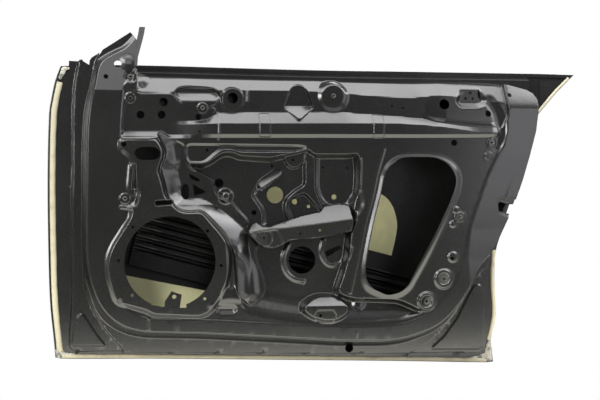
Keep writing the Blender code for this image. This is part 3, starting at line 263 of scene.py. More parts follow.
belt_edge_px = (
    (137, 148, 200, 260, 320, 350, 420, 482, 505),
    (75, 75.5, 77, 78.5, 79.5, 80.7, 81.7, 83, 85),
)
shoulder_px = (
    (137, 141, 170, 176, 185, 205, 250, 300, 350, 385, 405, 415, 440, 505),
    (89, 93, 93.5, 91, 89, 91, 91, 91, 95, 98, 99, 99, 96, 104),
)
bar_top_px = (
    (160, 200, 209, 220, 290, 345, 400, 425, 437, 470, 497),
    (121, 120, 118, 111.5, 111, 111, 115.5, 118, 122, 126.5, 127),
)
bar_front_px = ((160, 209, 400, 440, 480, 497), (125, 124, 124, 127, 133, 133))
recess_foot_px = ((240, 270, 300, 340, 380, 430), (285, 292, 297, 300, 300, 296))
ledge_edge_px = (
    (80, 100, 128, 151, 180, 200, 215, 230, 258, 278, 295),
    (512, 510, 509, 503, 489, 482, 477, 472, 469, 470, 470),
)
bone_run = (
    (135, 150, 165, 185, 196, 205, 215, 230, 250, 300),
    (0.030, 0.036, 0.040, 0.039, 0.0305, 0.0305, 0.041, 0.050, 0.040, 0.030),
)
bone_drop = (
    (135, 165, 185, 200, 215, 230, 260, 300),
    (0.010, 0.016, 0.021, 0.0225, 0.027, 0.029, 0.018, 0.008),
)
hollow_px = [
    (175, 92), (179, 88), (186, 86.5), (206, 87.5), (216, 90), (219.5, 95), (217, 103), (210, 107.5),
    (196, 108), (188, 109), (181, 104),
]
oval_pad_px = [(314, 316), (317.5, 310.5), (333, 309.8), (337, 315.5), (333.5, 322), (318, 322.5)]
low_front_emboss_px = [
    (71.5, 346), (73.5, 330), (77.5, 317), (80.5, 313.5), (84, 315), (88.5, 322), (96, 334), (106, 346),
]
low_rear_emboss_px = [
    (430, 349), (444, 336), (457, 318), (469, 294), (474, 285), (480, 284), (484, 292), (483, 345),
    (479, 349),
]
latch_pocket_px = [(496.5, 199), (503, 197), (522, 199.5), (520, 217.5), (509, 218), (498, 213)]

SPEAKER_HOLE_PX = (170.3, 262, 45.5)
access_opening_px = [
    (408, 157), (432, 157), (440, 159), (448, 164), (453, 171), (456, 179), (455, 187), (450, 201),
    (440, 223), (430, 243), (421, 260), (413, 274.6), (408.6, 284.5), (400.5, 292.5), (389.8, 295),
    (385.4, 294.7), (372.9, 289), (366, 280), (365.3, 268), (368, 249.6), (374, 220), (379, 202),
    (383, 182), (386, 173), (392, 164), (400, 158),
]
grab_slot_px = [
    (134, 153), (136, 149), (141, 147), (153, 147), (158, 149), (160.5, 153), (159, 158), (154, 160),
    (141, 160), (136, 158),
]

nuts_px = [
    ("sail_weld_nut", 130, 77, BELT_FACE_LEVEL),
    ("plate_weld_nut", 130, 98, PLATE_LEVEL),
    ("pillar_weld_nut", 125, 198.5, SPEAKER_LEVEL),
    ("speaker_weld_nut", 120, 300.4, TRIM_LEVEL),
    ("belt_weld_nut_mid", 333.5, 96, BOSS_LEVEL),
    ("belt_weld_nut_front", 202.5, 108, PLATE_LEVEL),
    ("latch_weld_nut_upper", 493, 142.5, SPEAKER_LEVEL),
    ("latch_weld_nut_mid", 460.5, 217, SPEAKER_LEVEL),
    ("handle_weld_nut_upper", 443.9, 278.8, TRIM_LEVEL),
    ("handle_weld_nut_lower", 427, 301.4, TRIM_LEVEL),
]


def place(points_px, level=0.0):
    """Picture points to x and z, on the plane that stands level in front of the hem plane."""
    points = np.asarray(points_px, float)
    u = (points[:, 0] - MIDDLE_PX[0]) / FOCAL_PX
    v = (MIDDLE_PX[1] - points[:, 1]) / FOCAL_PX
    x = (u * (VIEW_DISTANCE - COSINE * level) - SINE * level) / (COSINE - SINE * u)
    z = v * (VIEW_DISTANCE + SINE * x - COSINE * level)
    return np.stack([x, z], 1)


def seen(points, level=TRIM_LEVEL):
    """The picture point at which x and z show on a level."""
    depth = VIEW_DISTANCE + SINE * points[:, 0] - COSINE * level
    x_px = MIDDLE_PX[0] + FOCAL_PX * (COSINE * points[:, 0] + SINE * level) / depth
    return x_px, MIDDLE_PX[1] - FOCAL_PX * points[:, 1] / depth


def hinge_seat(y_px):
    """The middle of the front shut wall at a picture height, from which the part is measured."""
    upper, lower = place(wall_front_px[3:5], STRIP_LEVEL)
    height = place([(wall_front_px[3][0], y_px)], STRIP_LEVEL)[0][1]
    crown = upper + (lower - upper) * (height - upper[1]) / (lower[1] - upper[1])
    along = (lower - upper) / np.linalg.norm(lower - upper)
    middle = crown + np.array([along[1], -along[0]]) * SHUT_WALL / 2
    return np.array([middle[0], -STRIP_LEVEL / 2, middle[1]])


DATUM = -hinge_seat(HINGE_SEAT_PX)


def rounded(line, radius, closed=True, steps=4):
    """The line with its corners cut by short curves."""
    line = np.asarray(line, float)
    count = len(line)
    out = []
    for i, point in enumerate(line):
        if not closed and i in (0, count - 1):
            out.append(point)
            continue
        before, after = line[i - 1] - point, line[(i + 1) % count] - point
        one, two = np.linalg.norm(before), np.linalg.norm(after)
        cut = min(radius, one / 2, two / 2)
        start, end = point + before * cut / one, point + after * cut / two
        for k in range(steps + 1):
            t = k / steps
            out.append((1 - t) ** 2 * start + 2 * t * (1 - t) * point + t * t * end)
    keep = [out[0]]
    for point in out[1:]:
        if np.linalg.norm(point - keep[-1]) > 1e-4:
            keep.append(point)
    if closed and np.linalg.norm(keep[0] - keep[-1]) < 1e-4:
        keep.pop()
    return np.array(keep)


def dense(line, step, closed=False):
    """The line with points added so that none are further apart than step."""
    out = []
    last = len(line) if closed else len(line) - 1
    for i in range(last):
        a, b = line[i], line[(i + 1) % len(line)]
        pieces = max(1, math.ceil(np.linalg.norm(b - a) / step))
        out += [a + (b - a) * k / pieces for k in range(pieces)]
    if not closed:
        out.append(line[-1])
    return np.array(out)


def flowing(line, step):
    """A smooth curve through the points of an open line."""
    line = np.asarray(line, float)
    out = []
    for i in range(len(line) - 1):
        p1, p2 = line[i], line[i + 1]
        p0 = line[i - 1] if i else p1
        p3 = line[i + 2] if i + 2 < len(line) else p2
        length = np.linalg.norm(p2 - p1)
        before, after = np.linalg.norm(p1 - p0), np.linalg.norm(p3 - p2)
        m1 = (p2 - p0) * length / (length + before) if before else p2 - p1
        m2 = (p3 - p1) * length / (length + after) if after else p2 - p1
        pieces = max(1, math.ceil(length / step))
        for k in range(pieces):
            t = k / pieces
            out.append((2 * t ** 3 - 3 * t ** 2 + 1) * p1 + (t ** 3 - 2 * t ** 2 + t) * m1
                       + (3 * t ** 2 - 2 * t ** 3) * p2 + (t ** 3 - t ** 2) * m2)
    out.append(line[-1])
    return np.array(out)


def turning_left(line):
    x, z = line[:, 0], line[:, 1]
    area = np.sum(x * np.roll(z, -1) - np.roll(x, -1) * z)
    return line if area > 0 else line[::-1]


def inset(line, amount, closed=True):
    """The line moved to its left by amount, with mitred corners."""
    after = np.roll(line, -1, axis=0) - line
    before = line - np.roll(line, 1, axis=0)
    if not closed:
        after[-1] = before[-1]
        before[0] = after[0]
    normals = []
    for step in (before, after):
        unit = step / np.linalg.norm(step, axis=1, keepdims=True)
        normals.append(np.stack([-unit[:, 1], unit[:, 0]], 1))
    total = normals[0] + normals[1]
    spread = np.maximum(1 + (normals[0] * normals[1]).sum(1, keepdims=True), 0.5)
    return line + total / spread * np.reshape(amount, (-1, 1))


def distance(points, line, closed=True):
    """Distance of points to a line, and whether they lie inside it."""
    best = np.full(len(points), np.inf)
    inside = np.zeros(len(points), bool)
    x, z = points[:, 0], points[:, 1]
    last = len(line) if closed else len(line) - 1
    for i in range(last):
        ax, az = line[i]
        bx, bz = line[(i + 1) % len(line)]
        dx, dz = bx - ax, bz - az
        along = np.clip(((x - ax) * dx + (z - az) * dz) / (dx * dx + dz * dz), 0, 1)
        np.minimum(best, (x - ax - along * dx) ** 2 + (z - az - along * dz) ** 2, out=best)
        if az != bz:
            inside ^= ((az > z) != (bz > z)) & (x < dx * (z - az) / dz + ax)
    return np.sqrt(best), inside


def close_to(points, line, margin=0.0):
    """Whether points lie in the box round a line, widened by a margin."""
    return ((points >= line.min(0) - margin) & (points <= line.max(0) + margin)).all(1)


def within(points, line):
    """Whether points lie inside a closed line."""
    near = close_to(points, line)
    result = np.zeros(len(points), bool)
    if near.any():
        result[near] = distance(points[near], line)[1]
    return result


def clear_of(points, line, margin):
    """The points that lie inside a closed line, further from it than the margin."""
    away, inside = distance(points, line)
    return points[inside & (away > margin)]


def raised(points, level):
    """Points in x and z, set on a level over the hem plane."""
    return np.stack([points[:, 0], -np.broadcast_to(level, len(points)), points[:, 1]], 1)


def circle(centre, radius, count):
    turns = np.linspace(0, 2 * np.pi, count, endpoint=False)
    return np.stack([centre[0] + radius * np.cos(turns), centre[1] + radius * np.sin(turns)], 1)


def disc(x_px, y_px, radius_px, level, count=24):
    centre = place([(x_px, y_px)], level)[0]
    edge = place([(x_px, y_px + radius_px)], level)[0]
    return circle(centre, abs(edge[1] - centre[1]), count)


def ease(share):
    share = np.clip(share, 0, 1)
    return share * share * (3 - 2 * share)


def ramp(share, fillet):
    """0 to 1 with a straight middle and a round foot and crown, each fillet long."""
    share = np.clip(share, 0, 1)
    straight = 1 - fillet
    low = share ** 2 / (2 * fillet)
    high = straight - (1 - share) ** 2 / (2 * fillet)
    return np.where(share < fillet, low, np.where(share > straight, high, share - fillet / 2)) / straight



class Press:
    """A closed press line: inside it the sheet goes to a level, over a wall with round bends."""

    def __init__(self, points_px, level, wall, traced=None, radius=0.012, lean=0, fillet=0.35, add=False):
        if traced is None:
            traced = TRIM_LEVEL if callable(level) or add else level
        self.line = turning_left(rounded(place(points_px, traced), radius))
        self.level, self.wall, self.lean, self.fillet, self.add = level, wall, lean, fillet, add

    def width(self, points):
        return self.wall(points) if callable(self.wall) else self.wall

    def apply(self, points, height):
        near = close_to(points, self.line, WIDEST_WALL)
        if not near.any():
            return
        spots = points[near]
        away, inside = distance(spots, self.line)
        away = np.where(inside, away, -away)
        share = ramp(away / self.width(spots) + (1 - self.lean) / 2, self.fillet)
        level = self.level(spots) if callable(self.level) else self.level
        height[near] += share * (level if self.add else level - height[near])

    def rows(self):
        line = dense(self.line, ROW_STEP, True)
        width = self.width(line)
        start = width * (self.lean - 1) / 2
        shares = (0, 0.18, 0.36, 0.64, 0.82, 1) if np.mean(width) > 0.006 else (0, 0.3, 0.7, 1)
        return [(inset(line, start + width * share), True) for share in shares]


class Bead:
    """A ridge or groove along a line: its height falls off to both sides."""

    def __init__(self, points_px, height, width, traced=TRIM_LEVEL):
        self.line = rounded(place(points_px, traced), 0.02, False)
        self.height, self.width = height, width

    def apply(self, points, height):
        near = close_to(points, self.line, self.width)
        if near.any():
            away = distance(points[near], self.line, False)[0]
            height[near] += self.height * ease(1 - away / self.width)

    def rows(self):
        line = dense(self.line, 0.006)
        return [(inset(line, self.width * share, False), False) for share in (-1, -0.5, 0, 0.5, 1)]


class Dome:
    """A round boss or dish with a flat pad, raised by a height or set to a level."""

    def __init__(self, x_px, y_px, pad, outer, height=0, level=None, traced=TRIM_LEVEL):
        self.centre = place([(x_px, y_px)], traced if level is None else level)[0]
        self.pad, self.outer, self.height, self.level = pad, outer, height, level

    def apply(self, points, height):
        away = np.hypot(*(points - self.centre).T)
        near = away < self.outer
        share = ramp((self.outer - away[near]) / (self.outer - self.pad), 0.35)
        step = self.height if self.level is None else self.level - height[near]
        height[near] += share * step

    def rows(self):
        radii = np.linspace(self.pad, self.outer, 5)
        return [(circle(self.centre, radius, 20), True) for radius in radii]


def sail_drop(y_px):
    """How far the sail's face has leant back at a picture height."""
    return np.clip(SAIL_FOOT_PX - y_px, 0, None) * PIXEL * SAIL_LEAN


def trim_level(points):
    """The trim face: the sail leans back, and the rear ledge rolls away behind its crest."""
    x, y = seen(points)
    roll = np.clip(x - np.interp(y, *ledge_edge_px), 0, None) * PIXEL * LEDGE_ROLL
    sail = sail_drop(y) * np.clip((150 - x) / 6, 0, 1)
    above = np.clip(110 - y, 0, None)
    corner = above * above / (above + 6) * PIXEL * CORNER_ROLL * ease((x - 500) / 8)
    return TRIM_LEVEL - roll - sail - corner


def trim_wall(points):
    """The trim face's wall has the most draft along the bottom."""
    return TRIM_WALL + BOTTOM_WALL_DRAFT * ease((seen(points)[1] - 290) / 35)


def belt_end_rise(x_px):
    return BELT_END_RISE * np.clip((x_px - 425) / 20, 0, 1)


def belt_level(points):
    """The belt: a shoulder that rises from its upper edge to an upright face, tilted at its rear."""
    x, y = seen(points, BELT_FACE_LEVEL)
    top, low = np.interp(x, *belt_edge_px), np.interp(x, *shoulder_px)
    shoulder = (BELT_FACE_LEVEL - BELT_TOP_LEVEL) * ramp((y - top) / (low - top), 0.06)
    return BELT_TOP_LEVEL + shoulder + belt_end_rise(x) * np.clip((y - low) / 30, 0, 1)


def bar_level(points):
    """The bar under the belt: a long slope from its top edge out to its front edge."""
    x, y = seen(points)
    top, front = np.interp(x, *bar_top_px), np.interp(x, *bar_front_px)
    base = PLATE_LEVEL + (BELT_FACE_LEVEL - PLATE_LEVEL) * ease((x - 190) / 40) + belt_end_rise(x)
    growth = ease((x - 168) / 50)
    return base + (BAR_LEVEL - base) * growth * ramp((y - top) / (front - top), 0.05)


def shelf_level(points):
    """The slope that leads from the front plate out to the speaker face."""
    return PLATE_LEVEL + (SPEAKER_LEVEL - PLATE_LEVEL) * ramp((seen(points)[1] - 130) / 9.5, 0.06)


bone_edge = rounded(place(bone_left_px, SPEAKER_LEVEL), 0.02, False)


def bone_level(points):
    """The slope from the speaker face down into the recess."""
    away = distance(points, bone_edge, False)[0]
    y = seen(points)[1]
    return SPEAKER_LEVEL - np.interp(y, *bone_drop) * ramp(away / np.interp(y, *bone_run), 0.12)


def recess_level(points):
    """The recess's floor, which climbs back to the zone round it below its foot."""
    x, y = seen(points)
    foot = np.interp(x, *recess_foot_px)
    return RECESS_LEVEL + (ZONE_LEVEL - RECESS_LEVEL) * ramp((y - foot) / 28, 0.4)


def slug_level(points):
    """A small wedge in the recess that rises towards its lower right side."""
    x, y = seen(points)
    across = (y - 178.5) * 0.85 + (x - 269.5) * 0.55
    return RECESS_LEVEL + 0.001 + SLUG_RISE * np.clip(across / 8 + 0.5, 0, 1)


def cone_level(points):
    """The cone under the shoulder, which grows out into the bar."""
    x, y = seen(points, BELT_FACE_LEVEL)
    return CONE_LEVEL + (BAR_LEVEL - CONE_LEVEL) * np.clip((y - 106) / 13, 0, 1)


def oval_level(points):
    """The oval boss: a top that slopes out to its lower face."""
    return OVAL_LEVEL + OVAL_RISE * ramp((seen(points)[1] - 291) / 16.5, 0.12)


def hollow_level(points):
    """The hollow under the belt's shoulder, and the slope that climbs from it to the front nut."""
    return HOLLOW_LEVEL + HOLLOW_RISE * ramp((seen(points, BELT_FACE_LEVEL)[1] - 92) / 10, 0.2)


forms = [
    Press(seal_px, SEAL_LEVEL, 0.004, radius=0.03, lean=-1),
    Press(trim_px, trim_level, trim_wall, radius=0.03, lean=-1),
    Press(zone_px, ZONE_LEVEL, 0.006, TRIM_LEVEL, 0.03, 1),
    Press(belt_px, belt_level, 0.004, BELT_FACE_LEVEL),
    Press(plate_px, PLATE_LEVEL, 0.005, radius=0.006),
    Press(bar_px, bar_level, 0.0105, radius=0.004, lean=-1, fillet=0.15),
    Press(shelf_px, shelf_level, 0.002, 0.088, 0.003),
    Press(speaker_face_px, SPEAKER_LEVEL, 0.012, radius=0.02, lean=-0.3, fillet=0.22),
    Press(step_px, STEP_LEVEL, 0.007, ZONE_LEVEL, lean=0.4, fillet=0.2),
    Press(recess_px, recess_level, 0.013, STEP_LEVEL, 0.015, 0.6),
    Press(bone_left_px + bone_right_px, bone_level, 0.007, SPEAKER_LEVEL, 0.02),
    Bead([(173, 148), (174.5, 157)], -0.003, 0.017, 0.085),
    Bead([(175, 180), (176, 190)], -0.002, 0.017, 0.080),
    Bead([(231, 246), (232, 262), (232, 285)], -0.004, 0.015, 0.090),
    Bead([(240, 254), (250, 268), (252, 292)], 0.004, 0.022, 0.080),
    Press(hollow_px, hollow_level, 0.009, 0.066, 0.012),
    Press(hole_boss_px, HOLE_BOSS_LEVEL, 0.006, radius=0.02),
    Bead([(247.5, 91), (247.5, 101)], 0.003, 0.004, BELT_FACE_LEVEL),
    Press([(259.5, 113), (270, 113), (270.5, 137), (259.5, 137)], 0.0022, 0.003, 0.088, 0.004, add=True),
    Press([(373.5, 114), (384, 115), (384, 138), (373.5, 138)], 0.0022, 0.003, 0.088, 0.004, add=True),
    Bead([(219, 112), (219, 140)], 0.0012, 0.003, 0.090),
    Press(cone_px, cone_level, 0.004, 0.070, 0.006),
    Dome(333.5, 96, 0.022, 0.040, level=BOSS_LEVEL),
    Press(pocket_px, POCKET_LEVEL, 0.015, 0.066, 0.006, 0.8, 0.15),
    Bead([(492, 102), (498, 112), (501, 128), (498, 143)], -0.0045, 0.021),
    Press(slug_px, slug_level, 0.003, 0.066, 0.006),
    Bead([(257, 187), (253, 195), (256, 200), (262, 208), (264, 215), (264, 223)], -0.004, 0.006,
         RECESS_LEVEL),
    Press(hinge_tab_px, TAB_LEVEL, 0.007, radius=0.012),
    Press(rib_px, RIB_LEVEL, 0.008, TAB_LEVEL, 0.01),
    Bead([(317.5, 160), (317, 188), (321, 199), (328, 206), (344, 207), (353, 200), (357, 188), (357.5, 160)],
         0.003, 0.007, 0.064),
    Press(facet_px, FACET_LEVEL, 0.020, TAB_LEVEL, 0.01),
    Bead([(288, 245), (283.5, 254), (282.5, 263), (286, 273), (294, 279.5), (303, 281)], 0.004, 0.008,
         RECESS_LEVEL),
    Bead([(323, 241), (320, 252), (323, 260), (329, 265.7), (338, 265), (346, 257.7), (348, 248)], 0.0035,
         0.007, RECESS_LEVEL),
    Press(oval_boss_px, oval_level, 0.013, radius=0.03, lean=1, fillet=0.3),
    Press(oval_pad_px, -0.0025, 0.003, LIP_LEVEL, 0.004, add=True),
    Press(lip_px, LIP_LEVEL, 0.018, TRIM_LEVEL, 0.03, 1),
    Bead([(356, 220), (351, 233), (348, 260), (337, 292.5)], 0.002, 0.006),
    Bead([(384, 150), (378, 170), (372, 200), (366, 220), (360, 250), (350.5, 292.5)], 0.0015, 0.006),
    Dome(361, 304, 0.004, 0.020, 0.006),
    Bead([(134, 165), (134, 188)], -0.003, 0.005),
    Bead([(131, 166), (129, 190), (137, 196), (138, 203), (130, 207)], 0.002, 0.010),
    Bead([(122, 207), (131, 208)], 0.004, 0.007),
    Press([(154, 199.8), (173.5, 198.8), (174.5, 205.5), (154.5, 207)], SPEAKER_LEVEL - 0.005, 0.005,
          radius=0.006, lean=1),
    Dome(226.5, 196, 0.003, 0.021, 0.013, traced=0.080),
    Bead([(212, 304), (220, 298.5), (230, 297), (243, 298.5)], 0.003, 0.016),
    Press([(213, 306), (218, 303.5), (236, 303.5), (240, 309), (236, 316), (216, 316)], -0.006, 0.014,
          radius=0.012, lean=1, add=True),
    Bead([(148.5, 319), (148.5, 330)], 0.002, 0.005),
    Bead([(355.4, 332), (355.4, 341)], 0.002, 0.004, 0.075),
    Press(low_front_emboss_px, 0.003, 0.005, STRIP_LEVEL, 0.006, add=True),
    Press(low_rear_emboss_px, 0.003, 0.005, STRIP_LEVEL, 0.010, add=True),
    Press(latch_pocket_px, -0.007, 0.005, REAR_CREST_LEVEL, 0.004, 1, add=True),
    Dome(488.8, 156, 0.007, 0.012, 0.005),
    Dome(460.5, 217, 0.009, 0.014, 0.004),
    Dome(456, 210, 0.004, 0.011, 0.004),
    Dome(453, 224, 0.004, 0.011, 0.004),
    Dome(453, 257, 0.008, 0.015, 0.004),
    Dome(443.9, 278.8, 0.018, 0.026, 0.005),
    Dome(443.9, 278.8, 0.008, 0.016, -0.005),
    Dome(427, 301.4, 0.018, 0.025, 0.006),
    Dome(427, 301.4, 0.008, 0.016, -0.006),
    Dome(130, 77, 0.006, 0.016, -0.004, traced=BELT_FACE_LEVEL),
    Dome(128, 62, 0.003, 0.022, 0.0035, traced=BELT_FACE_LEVEL),
    Dome(141, 79, 0.003, 0.022, 0.0050, traced=0.065),
]
for _, x_px, y_px, nut_level in nuts_px:
    if nut_level in (PLATE_LEVEL, SPEAKER_LEVEL):
        forms.append(Dome(x_px, y_px, NUT_PAD, NUT_PAD + 0.005, NUT_PAD_RISE, traced=nut_level))

wall_line = turning_left(np.concatenate([
    rounded(place(wall_front_px + wall_bottom_px, STRIP_LEVEL), 0.012, False),
    place(wall_rear_px, REAR_CREST_LEVEL),
]))


def wall_width(points):
    """The shut wall is drafted by its height, which grows up the rear edge."""
    x, y = seen(points, STRIP_LEVEL)
    rear = np.clip((x - 480) / 8, 0, 1) * np.clip((262 - y) / 8, 0, 1)
    return SHUT_WALL + REAR_WALL_DRAFT * rear


def pressed_level(points):
    """The level of the inner panel's cabin side."""
    height = np.full(len(points), STRIP_LEVEL)
    for form in forms:
        form.apply(points, height)
    away, inside = distance(points, wall_line)
    away = np.where(inside, -away, away)
    return height * (1 - ramp(away / wall_width(points), 0.3))


def pressed_normal(points):
    """Directions that face the cabin, square to the pressed surface."""
    slopes = []
    for way in np.eye(2) * SLOPE_STEP:
        slopes.append((pressed_level(points + way) - pressed_level(points - way)) / (2 * SLOPE_STEP))
    normal = np.stack([-slopes[0], -np.ones(len(points)), -slopes[1]], 1)
    return normal / np.linalg.norm(normal, axis=1, keepdims=True)


front_line = place(skin_front_px)
bottom_line = place(skin_bottom_px)
rear_line = place(skin_rear_px)
BELT_Z = place([(300, 70)])[0][1]


def skin_crown(points):
    """How far the skin's base lies outside the hem plane: nothing along the hem, most at mid door."""
    rise = np.ones(len(points))
    for line, run in ((front_line, FRONT_RUN), (bottom_line, BOTTOM_RUN), (rear_line, REAR_RUN)):
        away = distance(points, line, False)[0]
        rise *= 1 - (1 - np.clip(away / run, 0, 1)) ** 2
    lean = np.clip(1 - (BELT_Z - points[:, 1]) / BELT_LEAN_RUN, 0, 1)
    return SKIN_CROWN * rise * (1 - BELT_LEAN_SHARE * lean ** 2)


def triangles(lines, keep, drop, fill):
    """Triangles over the keep outline without the drop outlines, with all lines as edges."""
    points, edges = [], []
    for line, closed in [(keep, True)] + lines + [(hole, True) for hole in drop]:
        start = len(points)
        points.extend(line)
        edges += [(start + i, start + i + 1) for i in range(len(line) - 1)]
        if closed:
            edges.append((len(points) - 1, start))
    points.extend(fill)
    result = delaunay_2d_cdt([Vector(point) for point in points], edges, [], 0, MERGE_DISTANCE)
    corners = np.array([tuple(point) for point in result[0]])
    faces = np.array(result[2])
    middle = corners[faces].mean(1)
    wanted = within(middle, keep)
    for hole in drop:
        wanted &= ~within(middle, hole)
    went = {old: new for new, olds in enumerate(result[3]) for old in olds}
    return corners, faces[wanted], [went[i] for i in range(len(keep))]


def lattice(low, high, step):
    across, up = np.meshgrid(np.arange(low[0], high[0], step), np.arange(low[1], high[1], step))
    across[::2] += step / 2
    return np.stack([across.ravel(), up.ravel()], 1)


def settled(points, faces, push, depth):
    """The push directions, evened out where a sheet this deep would fold over itself."""
    for _ in range(SETTLE_ROUNDS):
        normals = []
        for corners in (points, points - push * depth):
            a, b, c = (corners[faces[:, i]] for i in range(3))
            normals.append(np.cross(b - a, c - a))
        facing = (normals[0] * normals[1]).sum(1) / ((normals[0] * normals[0]).sum(1) + 1e-30)
        bad = faces[facing < LEAST_FACING]
        if len(bad) == 0:
            break
        mean = push[bad].mean(1)
        for i in range(3):
            push[bad[:, i]] = mean
    return push


def facing_cabin(points, faces):
    """The faces, all turned over where most of them look away from the cabin."""
    a, b, c = (points[faces[:, i]] for i in range(3))
    return faces[:, ::-1] if np.cross(b - a, c - a)[:, 1].sum() > 0 else faces


def vertex_normals(points, faces):
    a, b, c = (points[faces[:, i]] for i in range(3))
    flat = np.cross(b - a, c - a)
    total = np.zeros_like(points)
    for i in range(3):
        np.add.at(total, faces[:, i], flat)
    return total / (np.linalg.norm(total, axis=1, keepdims=True) + 1e-30)


def make(name, points, faces, material, replaces, smooth=BEND_ANGLE, normals=None):
    """A finished piece from points in the door's own frame."""
    mesh = bpy.data.meshes.new(name)
    points = np.asarray(points, float) + DATUM
    mesh.from_pydata(points.tolist(), [], [tuple(int(i) for i in face) for face in faces])
    if normals is None:
        body = bmesh.new()
        body.from_mesh(mesh)
        bmesh.ops.delete(body, geom=[v for v in body.verts if not v.link_faces], context="VERTS")
        bmesh.ops.recalc_face_normals(body, faces=body.faces)
        body.to_mesh(mesh)
        body.free()
    mesh.shade_smooth()
    mesh.set_sharp_from_angle(angle=math.radians(smooth))
    if normals is not None:
        mesh.shade_smooth()
        mesh.normals_split_custom_set(normals)
    thing = bpy.data.objects.new(name, mesh)
    bpy.context.collection.objects.link(thing)
    mesh.materials.append(material)
    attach(thing, "root")
    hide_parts(*replaces)


def sheet(name, faces, front, back, material, replaces, front_normal=None):
    """One closed body between two surfaces that share their triangles."""
    used = np.unique(faces)
    index = np.full(len(front), -1)
    index[used] = np.arange(len(used))
    faces = index[faces]
    front, back = front[used], back[used]
    count = len(front)
    edges = np.concatenate([faces[:, [0, 1]], faces[:, [1, 2]], faces[:, [2, 0]]])
    keys = set(map(tuple, edges.tolist()))
    rim = [(b, a, a + count, b + count) for a, b in keys if (b, a) not in keys]
    reverse = faces[:, ::-1] + count
    body = faces.tolist() + reverse.tolist() + rim
    points = np.concatenate([front, back])
    normals = None
    if front_normal is not None:
        front_normal = front_normal[used]
        normals = front_normal[faces.ravel()].tolist() + (-front_normal[faces[:, ::-1].ravel()]).tolist()
        for quad in rim:
            a, b, c = (points[i] for i in quad[:3])
            flat = np.cross(b - a, c - b)
            flat /= np.linalg.norm(flat) + 1e-30
            normals += [flat.tolist()] * 4
    make(name, points, body, material, replaces, normals=normals)


def lofted(name, sections, material, replaces, smooth=BEND_ANGLE, ring=False):
    """One closed body through sections of equal point counts, capped at both ends or run round."""
    count, total = len(sections[0]), len(sections)
    points = np.concatenate(sections)
    faces = []
    for k in range(total if ring else total - 1):
        n = (k + 1) % total
        for i in range(count):
            j = (i + 1) % count
            faces.append((k * count + i, k * count + j, n * count + j, n * count + i))
    if not ring:
        faces.append(tuple(range(count))[::-1])
        faces.append(tuple((total - 1) * count + i for i in range(count)))
    make(name, points, faces, material, replaces, smooth)


def thick(profile, amount):
    """The closed outline of a bent strip: the profile, and the profile moved to its left."""
    line = np.asarray(profile, float)
    return np.concatenate([line, inset(line, amount, False)[::-1]])


class Maths:
    """A shader value that turns Python's operators into Math nodes."""

    def __init__(self, tree, socket):
        self.tree, self.socket = tree, socket

    def _node(self, operation, *values):
        node = self.tree.nodes.new("ShaderNodeMath")
        node.operation = operation
        for socket, value in zip(node.inputs, values):
            if isinstance(value, Maths):
                self.tree.links.new(value.socket, socket)
            else:
                socket.default_value = value
        return Maths(self.tree, node.outputs[0])

    def __add__(self, other):
        return self._node("ADD", self, other)

    __radd__ = __add__

    def __mul__(self, other):
        return self._node("MULTIPLY", self, other)

    __rmul__ = __mul__

    def __sub__(self, other):
        return self._node("SUBTRACT", self, other)

    def __rsub__(self, other):
        return self._node("SUBTRACT", other, self)

    def clamped(self, low, high):
        """0 at low, 1 at high, with a smooth run between."""
        node = self.tree.nodes.new("ShaderNodeMapRange")
        node.interpolation_type = "SMOOTHSTEP"
        self.tree.links.new(self.socket, node.inputs[0])
        node.inputs[1].default_value = low
        node.inputs[2].default_value = high
        return Maths(self.tree, node.outputs[0])


class Finish:
    """A procedural material: nodes by type, settings and socket values."""

    def __init__(self, name):
        self.material = bpy.data.materials.new(name)
        self.material.use_nodes = True
        self.tree = self.material.node_tree
        self.shader = self.tree.nodes["Principled BSDF"]
        self.place = self.node("ShaderNodeTexCoord")["Object"]

    def node(self, kind, **values):
        node = self.tree.nodes.new(kind)
        for key, value in values.items():
            self.feed(node.inputs[key.replace("_", " ")], value)
        return node.outputs

    def feed(self, socket, value):
        if isinstance(value, Maths):
            self.tree.links.new(value.socket, socket)
        elif isinstance(value, bpy.types.NodeSocket):
            self.tree.links.new(value, socket)
        else:
            socket.default_value = value

    def noise(self, scale, detail, rough):
        out = self.node("ShaderNodeTexNoise", Vector=self.place, Scale=scale, Detail=detail, Roughness=rough)
        return Maths(self.tree, out[0])

    def mixed(self, factor, first, second):
        node = self.tree.nodes.new("ShaderNodeMix")
        node.data_type = "RGBA"
        self.feed(node.inputs[0], factor)
        for socket, value in ((node.inputs[6], first), (node.inputs[7], second)):
            self.feed(socket, (*value, 1) if isinstance(value, tuple) else value)
        return node.outputs[2]

    def bump(self, height, strength, depth):
        out = self.node("ShaderNodeBump", Height=height, Strength=strength, Distance=depth)
        self.feed(self.shader.inputs["Normal"], out[0])

    def set(self, **values):
        for key, value in values.items():
            self.feed(self.shader.inputs[key.replace("_", " ")], value)


def coated(name, colour, rough, metallic=0.0, dust=0.12, shine=1.68):
    """Dark electrocoat on pressed steel: an even skin with faint dust and uneven gloss."""
    finish = Finish(name)
    broad = finish.noise(7, 4, 0.6)
    fine = finish.noise(160, 3, 0.6)
    specks = finish.noise(900, 2, 0.5).clamped(0.66, 0.74)
    worn = broad.clamped(0.42, 0.72)
    pale = tuple(value * 1.3 + 0.003 for value in colour)
    base = finish.mixed(worn * 0.5 + fine.clamped(0.45, 0.65) * 0.2, colour, pale)
    finish.set(Base_Color=finish.mixed(specks * dust, base, (0.30, 0.30, 0.28)),
               Roughness=rough + (broad - 0.5) * 0.10 + (fine - 0.5) * 0.03 + specks * 0.2,
               Metallic=metallic)
    finish.shader.inputs["IOR"].default_value = shine
    finish.bump(finish.noise(45, 2, 0.5), 0.05, 0.002)
    return finish.material


